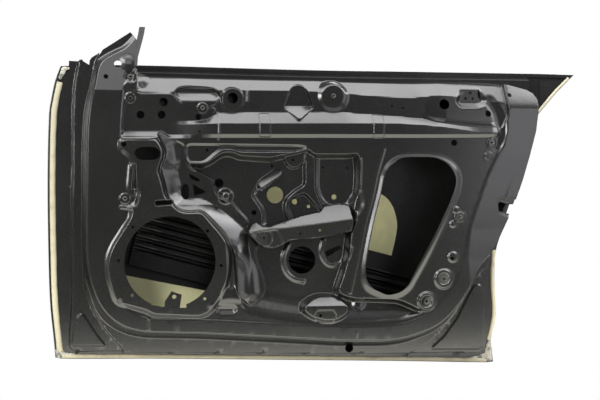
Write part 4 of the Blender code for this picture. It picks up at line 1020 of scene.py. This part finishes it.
def daubed(name, broad, fine, span, share, colours, rough, weight, strength, depth):
    """A matt finish in two tones: the broad noise mixes them, and both noises give its relief."""
    finish = Finish(name)
    broad, fine = finish.noise(*broad), finish.noise(*fine)
    base = finish.mixed(broad.clamped(*span) * share, *colours)
    finish.set(Base_Color=base, Roughness=rough[0] + (fine - 0.5) * rough[1])
    finish.bump(broad * weight + fine * (1 - weight), strength, depth)
    return finish.material


primer = coated("dark_electrocoat", (0.0055, 0.0058, 0.0048), 0.22)
skin_coat = coated("skin_electrocoat", (0.006, 0.006, 0.0055), 0.26, dust=0.02, shine=1.5)
beam_coat = coated("beam_electrocoat", (0.006, 0.006, 0.0055), 0.25, shine=1.4)
bracket_coat = coated("bracket_electrocoat", (0.007, 0.007, 0.006), 0.27)
nut_finish = coated("plated_nut", (0.07, 0.07, 0.065), 0.30, 0.5)
sealant = daubed("cream_sealant", (30, 4, 0.6), (240, 3, 0.6), (0.52, 0.75), 0.55,
                 ((0.56, 0.52, 0.37), (0.30, 0.27, 0.18)), (0.55, 0.2), 0.6, 0.5, 0.0012)
smeared = daubed("wiped_sealant", (110, 4, 0.6), (240, 3, 0.6), (0.40, 0.60), 1,
                 ((0.55, 0.53, 0.44), (0.16, 0.16, 0.145)), (0.5, 0), 0, 0.4, 0.001)
pad_material = daubed("damping_pad", (14, 3, 0.6), (500, 2, 0.6), (0.35, 0.7), 1,
                      ((0.78, 0.76, 0.43), (0.66, 0.64, 0.36)), (0.75, 0.2), 0, 0.3, 0.0006)

# The inner panel's windows, each with its level and corner radius, and its round holes by level.
windows_px = (
    ([(153.5, 225), (153.5, 218.5), (188, 221), (188, 228)], TRIM_LEVEL, 0.002),
    ([(151, 300), (151, 305), (175, 307.5), (186, 307.5), (186, 300)], TRIM_LEVEL, 0.002),
    (access_opening_px, TRIM_LEVEL, 0.01),
    (grab_slot_px, TRIM_LEVEL, 0.006),
    (latch_notch_px, TRIM_LEVEL, 0.002),
    ([(189, 174), (193, 175), (201, 180), (198, 181.5), (191, 179)], STEP_LEVEL, 0.003),
    ([(193, 184), (207, 192), (195, 196)], STEP_LEVEL, 0.003),
    ([(181, 189), (184, 184), (188, 184), (189.5, 190), (189, 199), (185, 200), (181.5, 196)],
     STEP_LEVEL, 0.005),
    ([(324.8, 251.5), (327, 257), (341.5, 249), (340, 245)], RECESS_LEVEL, 0.003),
    ([(155, 201), (172, 200), (172.5, 204), (155.5, 205)], SPEAKER_LEVEL, 0.002),
    ([(478, 89), (479.6, 89), (479.6, 98), (478, 98)], POCKET_LEVEL, 0.001),
)
round_holes_px = (
    (RECESS_LEVEL, [(302, 260, 13.7), (275, 195, 8.3), (219, 183, 4.5)]),
    (PLATE_LEVEL, [(163.5, 102, 4.3), (161.5, 114.7, 4), (140.5, 114.7, 4), (198.3, 117, 3)]),
    (BELT_FACE_LEVEL, [(444, 104.5, 5.2), (487.7, 113.7, 3.3)]), (TRIM_LEVEL, [(454.5, 142.7, 3.2)]),
    (BELT_FACE_LEVEL, [(232.3, 98.3, 5.5)]), (TRIM_LEVEL, [(123.5, 144.3, 2.7)]),
    (BELT_FACE_LEVEL, [(117.8, 63.5, 3.8)]), (TRIM_LEVEL, [(106, 76, 2.4)]),
    (SEAL_LEVEL, [(349.2, 348.2, 4.2)]),
    (SPEAKER_LEVEL, [(133, 227, 1.6), (207.5, 231, 1.6), (118.6, 260.6, 1.6), (221.1, 265.5, 1.6),
                     (132.3, 295.3, 1.6), (204.8, 298.9, 1.6)]),
    (TAB_LEVEL, [(293, 160, 1.3)]),
    (RECESS_LEVEL, [(322.8, 167.7, 1.2), (347.3, 168, 1.2), (334, 197, 2.6), (254, 212.5, 2.6),
                    (294.5, 201.5, 2.8), (308.5, 206.5, 1.7), (272, 166, 1.3)]),
    (TRIM_LEVEL, [(207.5, 150, 1.4)]),
    (POCKET_LEVEL, [(470.5, 93, 1.6), (465.5, 98.5, 1.4), (472.5, 98.5, 1.4)]),
    (TRIM_LEVEL, [(512, 94.5, 2.2)]), (LIP_LEVEL, [(320.6, 315.7, 1.5)]),
    (RECESS_LEVEL, [(300.5, 233.8, 2.6), (320, 230.3, 2.2)]), (LIP_LEVEL, [(452.6, 258.3, 1.8)]),
    (TRIM_LEVEL, [(148.6, 320, 1.4)]), (BELT_FACE_LEVEL, [(392, 106, 1), (403, 108, 1)]),
    (PLATE_LEVEL, [(199, 131.5, 1)]), (REAR_CREST_LEVEL, [(530, 85.5, 1.6)]),
)
# Mesh rows along the belt's shoulder and the bar: from, to, their edges, the shares between, level.
slope_rows = (
    (140, 504, belt_edge_px, shoulder_px, (0, 0.2, 0.6, 0.85, 1), BELT_FACE_LEVEL),
    (162, 498, bar_top_px, bar_front_px, (0, 0.15, 0.5, 0.85, 1), TRIM_LEVEL),
)
doublers_px = (
    ("upper_hinge_reinforcement", [(76, 118), (83.5, 116), (82, 196), (75.5, 196)], STRIP_LEVEL),
    ("lower_hinge_reinforcement", [(75, 236), (81.5, 236), (82, 300), (75, 300)], STRIP_LEVEL),
    ("latch_reinforcement", [(484, 196), (500, 170), (514, 176), (506, 201), (500, 201), (500, 217),
                             (496, 230), (476, 228)], TRIM_LEVEL),
    ("mirror_reinforcement", [(101, 68), (112, 59), (121, 57), (122, 84), (102, 86)], BELT_FACE_LEVEL),
)


def inner_pressing():
    """The pressed inner panel, finely meshed along its bends, and the plates behind its faces."""
    hem = np.concatenate([
        place(hem_start_px), flowing(front_line[1:], 0.02)[:-1], flowing(bottom_line, 0.04)[:-1],
        rear_line[:10],
    ])
    hem = inset(hem, SKIN_SHEET + GAP, False)
    free = [place(free_rear_px, REAR_CREST_LEVEL), place(free_belt_px, BELT_TOP_LEVEL),
            place(free_sail_px, BELT_FACE_LEVEL), place(free_front_px, 0)]
    outline = turning_left(np.concatenate([hem] + free))
    holes = [disc(*SPEAKER_HOLE_PX, SPEAKER_LEVEL, 96)]
    for points_px, level, radius in windows_px:
        holes.append(turning_left(rounded(place(points_px, level), radius)))
    for level, spots in round_holes_px:
        holes += [disc(x, y, radius, level, 32 if radius > 6 else 14) for x, y, radius in spots]
    for _, x, y, level in nuts_px:
        holes.append(circle(place([(x, y)], level)[0], NUT_HOLE, 14))
    lines = [row for form in forms for row in form.rows()]
    for start, stop, upper, lower, shares, level in slope_rows:
        across = np.arange(start, stop, 4.0)
        top, foot = np.interp(across, *upper), np.interp(across, *lower)
        for share in shares:
            lines.append((place(np.stack([across, top + (foot - top) * share], 1), level), False))
    wall = dense(wall_line, 0.02, True)
    for share in (0, 0.3, 0.7, 1):
        lines.append((inset(wall, -wall_width(wall) * share), True))
    low, high = outline.min(0), outline.max(0)
    fine = lattice(low, high, FINE_STEP)
    level = pressed_level(fine)
    bend = np.zeros(len(fine))
    for way in np.eye(2) * FINE_STEP:
        bend += np.abs(pressed_level(fine + way) + pressed_level(fine - way) - 2 * level)
    fill = np.concatenate([fine[bend > LEAST_BEND], lattice(low, high, 4 * FINE_STEP)])
    fill = fill[within(fill, outline)]
    doublers = {name: place(points_px, level) for name, points_px, level in doublers_px}
    lines += [(line, True) for line in doublers.values()]
    corners, faces, _ = triangles(lines, outline, holes, fill)
    front = raised(corners, pressed_level(corners))
    faces = facing_cabin(front, faces)
    normal = pressed_normal(corners)
    push = settled(front, faces, normal.copy(), PANEL_SHEET)
    sheet("inner_pressing", faces, front, front - push * PANEL_SHEET, primer,
          ("inner_panel",), normal)
    middle = corners[faces].mean(1)
    near = PANEL_SHEET + GAP
    far = near + PLATE_SHEET
    for name, line in doublers.items():
        chosen = faces[within(middle, line)]
        sheet(name.replace("reinforcement", "doubler"), chosen, front - push * near, front - push * far,
              primer, (name,))


belt_line = place(skin_belt_px)
for _ in range(3):
    belt_line = np.concatenate([
        place([point_px], -out) for point_px, out in zip(skin_belt_px, skin_crown(belt_line))
    ])
belt_run = np.concatenate([rear_line[-1:], belt_line])
skin_hem = np.concatenate([
    flowing(front_line, 0.02)[:-1], flowing(bottom_line, 0.03)[:-1], dense(rear_line[:3], 0.02)[:-1],
    flowing(rear_line[2:11], 0.015)[:-1], dense(rear_line[10:], 0.02)[:-1],
])
belt_fine = flowing(belt_run, 0.025)
skin_edge = np.concatenate([skin_hem, belt_fine])


def outer_skin():
    """The skin: a fold round the flange's edge, a return on the cabin side, and the crowned face."""
    hem_low = PANEL_SHEET + GAP
    outer_low = hem_low + SKIN_SHEET
    return_low = -GAP - SKIN_SHEET
    belt = np.arange(len(skin_edge)) >= len(skin_hem)

    def ring(inward, out):
        line = inset(skin_edge, inward)
        return raised(line, -(np.where(belt, skin_crown(line), 0) + out))

    start_in, grid, clear, round_off = 0.004, 0.02, 0.008, 0.0005
    start_line = inset(skin_edge, start_in)
    fill = clear_of(lattice(start_line.min(0), start_line.max(0), grid), start_line, clear)
    corners, faces, order = triangles([], start_line, [], fill)
    inside = raised(corners, -(skin_crown(corners) + hem_low))
    outside = inside + np.array([0, SKIN_SHEET, 0])
    middle_out = (return_low + outer_low) / 2
    rings = [
        ring(SKIN_SHEET, hem_low), ring(SKIN_SHEET, -GAP), ring(HEM_WIDTH, -GAP), ring(HEM_WIDTH, return_low),
        ring(2 * round_off, return_low), ring(round_off * 0.6, return_low + round_off * 0.4),
        ring(0, return_low + 2 * round_off), ring(0, middle_out), ring(0, outer_low - 2 * round_off),
        ring(round_off * 0.6, outer_low - round_off * 0.4), ring(2 * round_off, outer_low),
    ]
    inner_count, count = len(corners), len(skin_edge)
    loops = [order]
    loops += [[2 * inner_count + k * count + i for i in range(count)] for k in range(len(rings))]
    loops.append([inner_count + i for i in order])
    body = faces.tolist() + (faces[:, ::-1] + inner_count).tolist()
    for one, two in zip(loops, loops[1:]):
        for i in range(count):
            j = (i + 1) % count
            body.append((one[i], one[j], two[j], two[i]))
    make("outer_skin", np.concatenate([inside, outside] + rings), body, skin_coat,
         ("outer_panel",), 40)


def belt_rails():
    """The outer rail hangs in the skin's belt hem, the inner rail behind the panel's belt edge."""
    start = SKIN_SHEET + GAP
    flange, offset, web, foot = 0.011, 0.006, 0.046, 0.012
    knee = start + flange
    low = knee + offset + web
    profile = [(start, 0), (knee, 0), (knee + offset, 0.010), (low, 0.010), (low + offset, 0.003),
               (low + offset + foot, 0.003)]

    def rail(name, edge, base, fold, replaced):
        outline = thick(fold, -PANEL_SHEET)
        sections = []
        for x, z in edge:
            below = np.stack([np.full(len(outline), x), z - outline[:, 0]], 1)
            sections.append(raised(below, outline[:, 1] - base(below)))
        lofted(name, sections, primer, (replaced,))

    outer_edge = flowing(belt_run, 0.025)
    rail_end = place([RAIL_END_PX], -skin_crown(belt_line[:1])[0])[0][0]
    outer_edge = outer_edge[outer_edge[:, 0] < rail_end][::-1]
    rail("outer_belt_rail", outer_edge, skin_crown, profile, "outer_belt_reinforcement")
    inner_edge = dense(place(free_belt_px[1:8], BELT_TOP_LEVEL), 0.03)[::-1]
    rail("inner_belt_rail", inner_edge, lambda line: np.full(len(line), PANEL_SHEET + GAP - BELT_TOP_LEVEL),
         [(drop, -level) for drop, level in profile], "inner_belt_reinforcement")


def side_beam():
    """A corrugated beam that falls towards the rear, with a flat foot under its ribs."""
    pitch, depth, ribs, rows = 0.0207, 0.012, 5, 14
    front_level, rise = -0.014, 0.018
    start, end = place([(138, 229)], front_level)[0], place([(425, 304)], front_level + rise)[0]
    along = (end - start) / np.linalg.norm(end - start)
    up = np.array([-along[1], along[0]])
    top = ribs * pitch / 2
    profile = []
    for rib in range(ribs):
        for share in np.linspace(0, 1, rows, endpoint=False):
            fall = ramp((share - 0.12) / 0.26, 0.4) - ramp((share - 0.62) / 0.26, 0.4)
            profile.append((top - (rib + share) * pitch, -float(fall) * depth))
    profile += [(-top, 0), (-top - 0.015, 0), (-top - 0.030, 0)]
    outline = thick(profile, -BEAM_SHEET)
    sections = []
    for share in np.linspace(0, 1, 25):
        fading = 0.15 + 0.85 * ease(share / 0.035) * ease((1 - share) / 0.05)
        spots = start + (end - start) * share + outline[:, :1] * up
        sections.append(raised(spots, front_level + rise * share + outline[:, 1] * fading))
    lofted("corrugated_beam", sections, beam_coat, ("side_impact_beam",), 50)
    foot = place([(79.5, 214)], STRIP_LEVEL)[0]
    under_beam = front_level - BEAM_SHEET - depth - BEAM_SHEET
    under_strip = STRIP_LEVEL - PANEL_SHEET - GAP - PLATE_SHEET
    sections = []
    for (x, z), level, width in (
            (start + along * 0.020, under_beam, 0.100), (start - along * 0.020, under_beam, 0.100),
            (foot + [0.040, 0], -0.004, 0.070), (foot + [0.008, 0], under_strip, 0.056),
            (foot - [0.008, 0], under_strip, 0.056)):
        low, high, back = z - width / 2, z + width / 2, -level + PLATE_SHEET
        sections.append(np.array([(x, -level, low), (x, -level, high), (x, back, high), (x, back, low)]))
    lofted("front_beam_strap", sections, beam_coat, ("beam_bracket_front",), 50)


OVER_HEM = GAP + SKIN_SHEET + GAP


def sealant_runs():
    """Sealant laid by hand over the hem's return: its width and height wander a little."""
    tip = rear_line[-3:].copy()
    tip[-1] = tip[-2] + (tip[-1] - tip[-2]) * 0.75
    runs = (
        ("sealant_front", flowing(front_line[1:], 0.006)[:-1], 0.0045, 0.0128, "hem_sealant_front", 3),
        ("sealant_bottom", flowing(bottom_line[1:-1], 0.006), 0.0012, 0.0092, "hem_sealant_bottom", 5),
        ("sealant_rear", flowing(rear_line[1:5], 0.005), 0.0012, 0.0092, "hem_sealant_rear", 7),
        ("sealant_top_rear", flowing(tip, 0.005), 0.0012, 0.0062, "hem_sealant_top_rear", 11),
    )
    step = HEM_WIDTH + GAP
    for name, line, start, width, replaced, phase in runs:
        walk = np.concatenate([[0], np.cumsum(np.linalg.norm(np.diff(line, axis=0), axis=1))])
        wander = 0.5 * np.sin(walk * 61 + phase) + 0.3 * np.sin(walk * 150 + 2 * phase)
        wander += 0.2 * np.sin(walk * 23)
        ends = np.minimum(ease(walk / 0.02), ease((walk[-1] - walk) / 0.02))
        wide = start + width * (1 + 0.04 * wander)
        crest = OVER_HEM + SEALANT_HEIGHT * (0.4 + 0.6 * ends) * (1 + 0.15 * np.roll(wander, 3))
        if start + width > step:
            foot = [(step, OVER_HEM), (step, GAP), (wide, GAP), (wide, OVER_HEM * 0.7)]
        else:
            foot = [(wide, OVER_HEM), (wide + 0.0001, OVER_HEM + 0.0003)]
        profile = [(start, OVER_HEM)] + foot
        for share in (0.88, 0.68, 0.45, 0.25, 0.1):
            height = OVER_HEM + (crest - OVER_HEM) * math.sqrt(1 - abs(2 * share - 1) ** 2.6)
            profile.append((start + (wide - start) * share, height))
        tracks = []
        for inward, level in profile:
            tracks.append(raised(inset(line, np.broadcast_to(inward, len(line)), False), level))
        lofted(name, list(np.stack(tracks, 1)), sealant, (replaced,), 60)


smears_px = (
    ("sealant_dab_low_front", 0.0022, [
        (56, 357.6), (55.2, 350), (57.5, 345.5), (61, 347), (63.5, 351.8), (70, 353.2), (78, 354), (79, 356),
        (70, 357.9)]),
    ("sealant_dab_low_rear", 0.0014, [
        (469, 361), (468, 357.8), (478, 355.3), (484.5, 352.8), (486, 345), (488, 338.5), (490.2, 339),
        (491.2, 352), (492, 360.6)]),
    ("sealant_dab_top_front", 0.0016, [
        (60.7, 71), (61.3, 68), (64, 66.8), (69, 67.2), (70, 68.8), (66, 70.3), (64, 75), (60.5, 80),
        (58.3, 78)]),
)


def smears():
    """Sealant wiped thinly over the hem's corners."""
    for replaced, rise, points_px in smears_px:
        line = turning_left(rounded(place(points_px), 0.003))
        fill = clear_of(lattice(line.min(0), line.max(0), 0.002), line, 0.001)
        corners, faces, _ = triangles([], line, [], fill)
        away = distance(corners, line)[0]
        uneven = np.sin(corners[:, 0] * 900) * np.sin(corners[:, 1] * 700 + 2)
        top = OVER_HEM + 0.0002 + rise * ease(away / 0.004) * (0.8 + 0.2 * uneven)
        front, back = raised(corners, top), raised(corners, OVER_HEM)
        sheet(replaced.replace("dab", "smear"), facing_cabin(front, faces), front, back, smeared,
              (replaced,))


bracket_back_px = [
    (247, 232), (251, 224), (256, 221), (260, 223.5), (263, 226), (270, 226), (295, 217), (320, 211),
    (323, 206), (330, 204.5), (340, 203), (350, 205), (352, 212), (354, 219.5),
]
bracket_low_px = [
    (353.5, 226), (352, 231.5), (318, 238.5), (290, 241), (283, 245), (278, 247.3), (271, 248.7),
    (264, 247.6), (258, 244), (252, 238),
]
bracket_fold_px = ((247, 270, 283, 330, 354), (232, 229.6, 229, 223, 219.5))
bracket_face = ((247, 256, 268, 354), (0.081, 0.090, 0.097, 0.097))
BRACKET_FOOT = 0.0625
BRACKET_LIP = 0.009
BRACKET_SLOPE = 0.8
BRACKET_DISC_PX = (262, 238)
BRACKET_DISH = 0.0022
BRACKET_END_PX = (283, 236)


def armrest_bracket():
    """The folded bracket across the recess: a sloped top, an upright face with a round dish, and a lip."""
    outline = np.array(bracket_back_px + bracket_low_px, float)
    outline = turning_left(outline * (1, -1)) * (1, -1)
    edge = rounded(outline, 1.5)
    holes = [circle((300.5, 233.8), 1.7, 3), circle((320, 230.3), 1.2, 12), circle((264, 238), 1.1, 12)]
    rows = []
    for away in (0.5, 1, 1.8):
        rows.append((inset(edge * (1, -1), away) * (1, -1), True))
    across = np.arange(250, 353, 2.0)
    for below in (-1.5, -0.6, 0, 0.6, 1.5):
        rows.append((np.stack([across, np.interp(across, *bracket_fold_px) + below], 1), False))
    for radius in (9.5, 10.5, 11.5):
        rows.append((circle(BRACKET_DISC_PX, radius, 30)[7:24], False))
    fill = clear_of(lattice((246, 202), (356, 250), 1.6), edge, 0.6)
    spots, faces, _ = triangles(rows, edge, holes, fill)
    x, y = spots.T
    fold = np.interp(x, *bracket_fold_px)
    face = np.interp(x, *bracket_face)
    above = np.clip(fold - y, 0, None)
    level = face - BRACKET_SLOPE * PIXEL * above * above / (above + 0.8)
    dish = np.hypot(x - BRACKET_DISC_PX[0], y - BRACKET_DISC_PX[1])
    face_share = ramp((y - fold) / 1.5, 0.3)
    end = BRACKET_END_PX[0] - x + (y - BRACKET_END_PX[1]) * 0.5
    level -= BRACKET_DISH * ramp((11.5 - dish) / 2, 0.4) * face_share
    level -= BRACKET_DISH * ramp(end / 6, 0.4) * face_share
    foot = np.where(y > fold, face - BRACKET_LIP, BRACKET_FOOT)
    level = foot + (level - foot) * ramp(distance(spots, edge)[0] / 1.0, 0.5)
    front = raised(place(spots, level), level)
    faces = facing_cabin(front, faces)
    normal = vertex_normals(front, faces)
    push = settled(front, faces, normal.copy(), PANEL_SHEET)
    sheet("door_pull_bracket", faces, front, front - push * PANEL_SHEET, bracket_coat,
          ("armrest_bracket",), normal)


def clinch_nuts():
    """Nuts pressed into the panel: a body behind it and a collar that shows on its cabin side."""
    sizes = {"handle_weld_nut_upper": 2.2, "handle_weld_nut_lower": 1.3, "latch_weld_nut_upper": 1.25}
    sleeve, body, body_depth, least_bore = 0.0033, 0.0070, 0.0075, 0.0026
    for name, x_px, y_px, level in nuts_px:
        centre = place([(x_px, y_px)], level)
        size = sizes.get(name, 1)
        face = pressed_level(centre + np.array([[0.0045 * size, 0]]))[0]
        bore, collar = 0.0024 * size, 0.0058 * size
        bottom, seat, over = face - body_depth, face - PANEL_SHEET - GAP, face + GAP
        large = size >= 2
        profile = [
            (least_bore if large else bore, bottom), (body, bottom), (body, seat), (sleeve, seat),
            (sleeve, over), (collar, over), (collar, face + 0.0012), (collar - 0.0006, face + 0.0020),
            (bore + 0.0010, face + 0.0024), (bore, face + (0.0012 if large else 0.0016)),
        ]
        if large:
            profile.append((least_bore, face + 0.0008))
        sections = [raised(circle(centre[0], radius, 28), out) for radius, out in profile]
        lofted(name.replace("weld", "clinch"), sections, nut_finish, (name,), 40, True)


def damping_pads():
    """Pads glued to the skin's inner face."""
    upper = [
        (262, 180), (340, 182), (370, 189), (381, 194.3), (385.5, 197), (390, 202), (394, 210), (396.3, 219),
        (397, 227), (395, 239), (391, 255.5),
    ]
    upper_end = [(369, 250), (320, 238), (262, 212)]
    lower = [(112, 272.5), (127, 275.4), (200, 289.2), (226, 295), (225, 326), (114, 318)]
    curve = flowing(place(upper, -SKIN_CROWN), 0.01)
    for name, line in (
            ("upper_damping_pad", np.concatenate([curve, place(upper_end, -SKIN_CROWN)])),
            ("lower_damping_pad", place(lower, -SKIN_CROWN))):
        line = turning_left(line)
        fill = clear_of(lattice(line.min(0), line.max(0), 0.02), line, 0.006)
        corners, faces, _ = triangles([], line, [], fill)
        back = raised(corners, -(skin_crown(corners) + PANEL_SHEET))
        front = back - np.array([0, PAD_SHEET, 0])
        sheet(name.replace("damping", "glued"), facing_cabin(front, faces), front, back, pad_material,
              (name,))


def glass_run_channel():
    """The glass run's channel behind the sail: a web towards the cabin and two sides."""
    right_px = [(145.2, 27), (144.2, 33), (142.6, 40), (140, 49.5), (138, 57), (137.3, 66)]
    width, depth, set_back = 0.0125, 0.014, 0.0028
    outline = thick([(0, -depth), (0, 0), (-width, 0), (-width, -depth)], PLATE_SHEET)
    sections = []
    for x_px, y_px in right_px:
        level = TRIM_LEVEL - sail_drop(y_px) - PANEL_SHEET - set_back
        x, z = place([(x_px, y_px)], level)[0]
        sections.append(np.array([(x + across, -level - out, z) for across, out in outline]))
    lofted("glass_run_channel", sections, primer, ("window_channel_bracket",))


inner_pressing()
armrest_bracket()
clinch_nuts()
damping_pads()
glass_run_channel()
outer_skin()
belt_rails()
side_beam()
sealant_runs()
smears()

# Only pressed pieces of the CAD still show: what no piece above replaces.
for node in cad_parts.values():
    node.data.materials.clear()
    node.data.materials.append(primer)

# Stage: a pale floor, a white world, soft lamps round the door, and the camera.
low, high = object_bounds()
WHITE = (1, 1, 1, 1)
FLOOR_SIZE = 1.9
FLOOR_GAP = 0.002


def whitened(tree, white_kind, ground, output, glossy=1.0):
    """Shows plain white to the camera, to mirrors and through glass, and the ground to all light."""
    path = tree.nodes.new("ShaderNodeLightPath")
    white = tree.nodes.new(white_kind)
    white.inputs[0].default_value = WHITE
    white.inputs[1].default_value = 1
    mix = tree.nodes.new("ShaderNodeMixShader")
    showing = Maths(tree, path.outputs["Is Camera Ray"]) + Maths(tree, path.outputs["Is Glossy Ray"]) * glossy
    showing = showing + Maths(tree, path.outputs["Is Transmission Ray"])
    tree.links.new(showing.socket, mix.inputs[0])
    tree.links.new(ground.outputs[0], mix.inputs[1])
    tree.links.new(white.outputs[0], mix.inputs[2])
    tree.links.new(mix.outputs[0], tree.nodes[output].inputs["Surface"])


def stage_floor():
    bpy.ops.mesh.primitive_plane_add(size=FLOOR_SIZE,
                                     location=((low[0] + high[0]) / 2, 0, low[2] - FLOOR_GAP))
    floor = bpy.context.active_object
    floor.name = "floor"
    bpy.ops.object.transform_apply(location=True)
    material = bpy.data.materials.new("pale_floor")
    material.use_nodes = True
    base = material.node_tree.nodes["Principled BSDF"]
    base.inputs["Base Color"].default_value = (0.62, 0.60, 0.55, 1)
    base.inputs["Roughness"].default_value = 0.9
    whitened(material.node_tree, "ShaderNodeEmission", base, "Material Output")
    floor.data.materials.append(material)


stage_floor()

world = bpy.data.worlds.new("studio")
bpy.context.scene.world = world
world.use_nodes = True
back = world.node_tree.nodes["Background"]
back.inputs[0].default_value = (0.93, 0.96, 1.0, 1)
back.inputs[1].default_value = 0.16
whitened(world.node_tree, "ShaderNodeBackground", back, "World Output", 0.06)

centre = Vector(DATUM)


def lamp(name, where, target, width, height, watts, colour=(1, 1, 1)):
    """A soft lamp, placed and aimed from the middle of the view, and hidden from the camera."""
    light = bpy.data.lights.new(name, "AREA")
    light.shape = "RECTANGLE"
    light.size, light.size_y = width, height
    light.energy = watts
    light.color = colour
    thing = bpy.data.objects.new(name, light)
    bpy.context.collection.objects.link(thing)
    thing.location = centre + Vector(where)
    thing.rotation_euler = (Vector(target) - Vector(where)).to_track_quat("-Z", "Y").to_euler()
    thing.visible_camera = False


lamp("overhead", (0.2, -0.2, 1.5), (0.2, -0.21, 0), 3.6, 0.9, 50)
lamp("upper_front", (0.1, -0.85, 1.75), (0, 0, 0), 3.2, 0.8, 10)
lamp("low_front", (0.1, -0.27, -0.384), (0.1, -0.27, 0.25), 2.6, 0.3, 5, (1.0, 0.96, 0.80))
lamp("right_front", (1.7, -1.8, 0.4), (0, 0, 0), 1.2, 1.4, 8.5, (0.97, 0.94, 1.0))
lamp("right_side", (2.2, -0.9, 0.3), (0, 0, 0), 1.0, 2.0, 4.5, (0.96, 0.93, 1.0))
lamp("left_side", (-2.2, -0.9, 0.3), (0, 0, 0), 0.8, 1.8, 3, (0.94, 1.0, 0.94))
lamp("right_high", (1.6, -0.2, 1.1), (0.1, -0.1, 0), 1.2, 0.9, 16, (0.98, 0.97, 1.0))
lamp("middle_front", (-0.4, -2.0, 1.65), (-0.4, 0, 0.2), 2.0, 0.6, 7)
lamp("front_fill", (-1.6, -1.7, 2.0), (0, 0, 0), 1.2, 1.0, 32)
lamp("near_fill", (-1.7, -2.0, 0.45), (0, 0, 0), 0.6, 0.6, 22)
lamp("back_soft", (0.3, 2.0, 1.2), (0, 0, 0), 3.0, 0.8, 40)

camera_data = bpy.data.cameras.new("camera")
camera_data.sensor_width = SENSOR
camera_data.lens = SENSOR * FOCAL_PX / (2 * MIDDLE_PX[0])
camera = bpy.data.objects.new("camera", camera_data)
bpy.context.collection.objects.link(camera)
camera.location = centre + Vector((-SINE * VIEW_DISTANCE, -COSINE * VIEW_DISTANCE, 0))
camera.rotation_euler = (centre - camera.location).to_track_quat("-Z", "Y").to_euler()
bpy.context.scene.camera = camera

view = bpy.context.scene.view_settings
view.view_transform = "Standard"
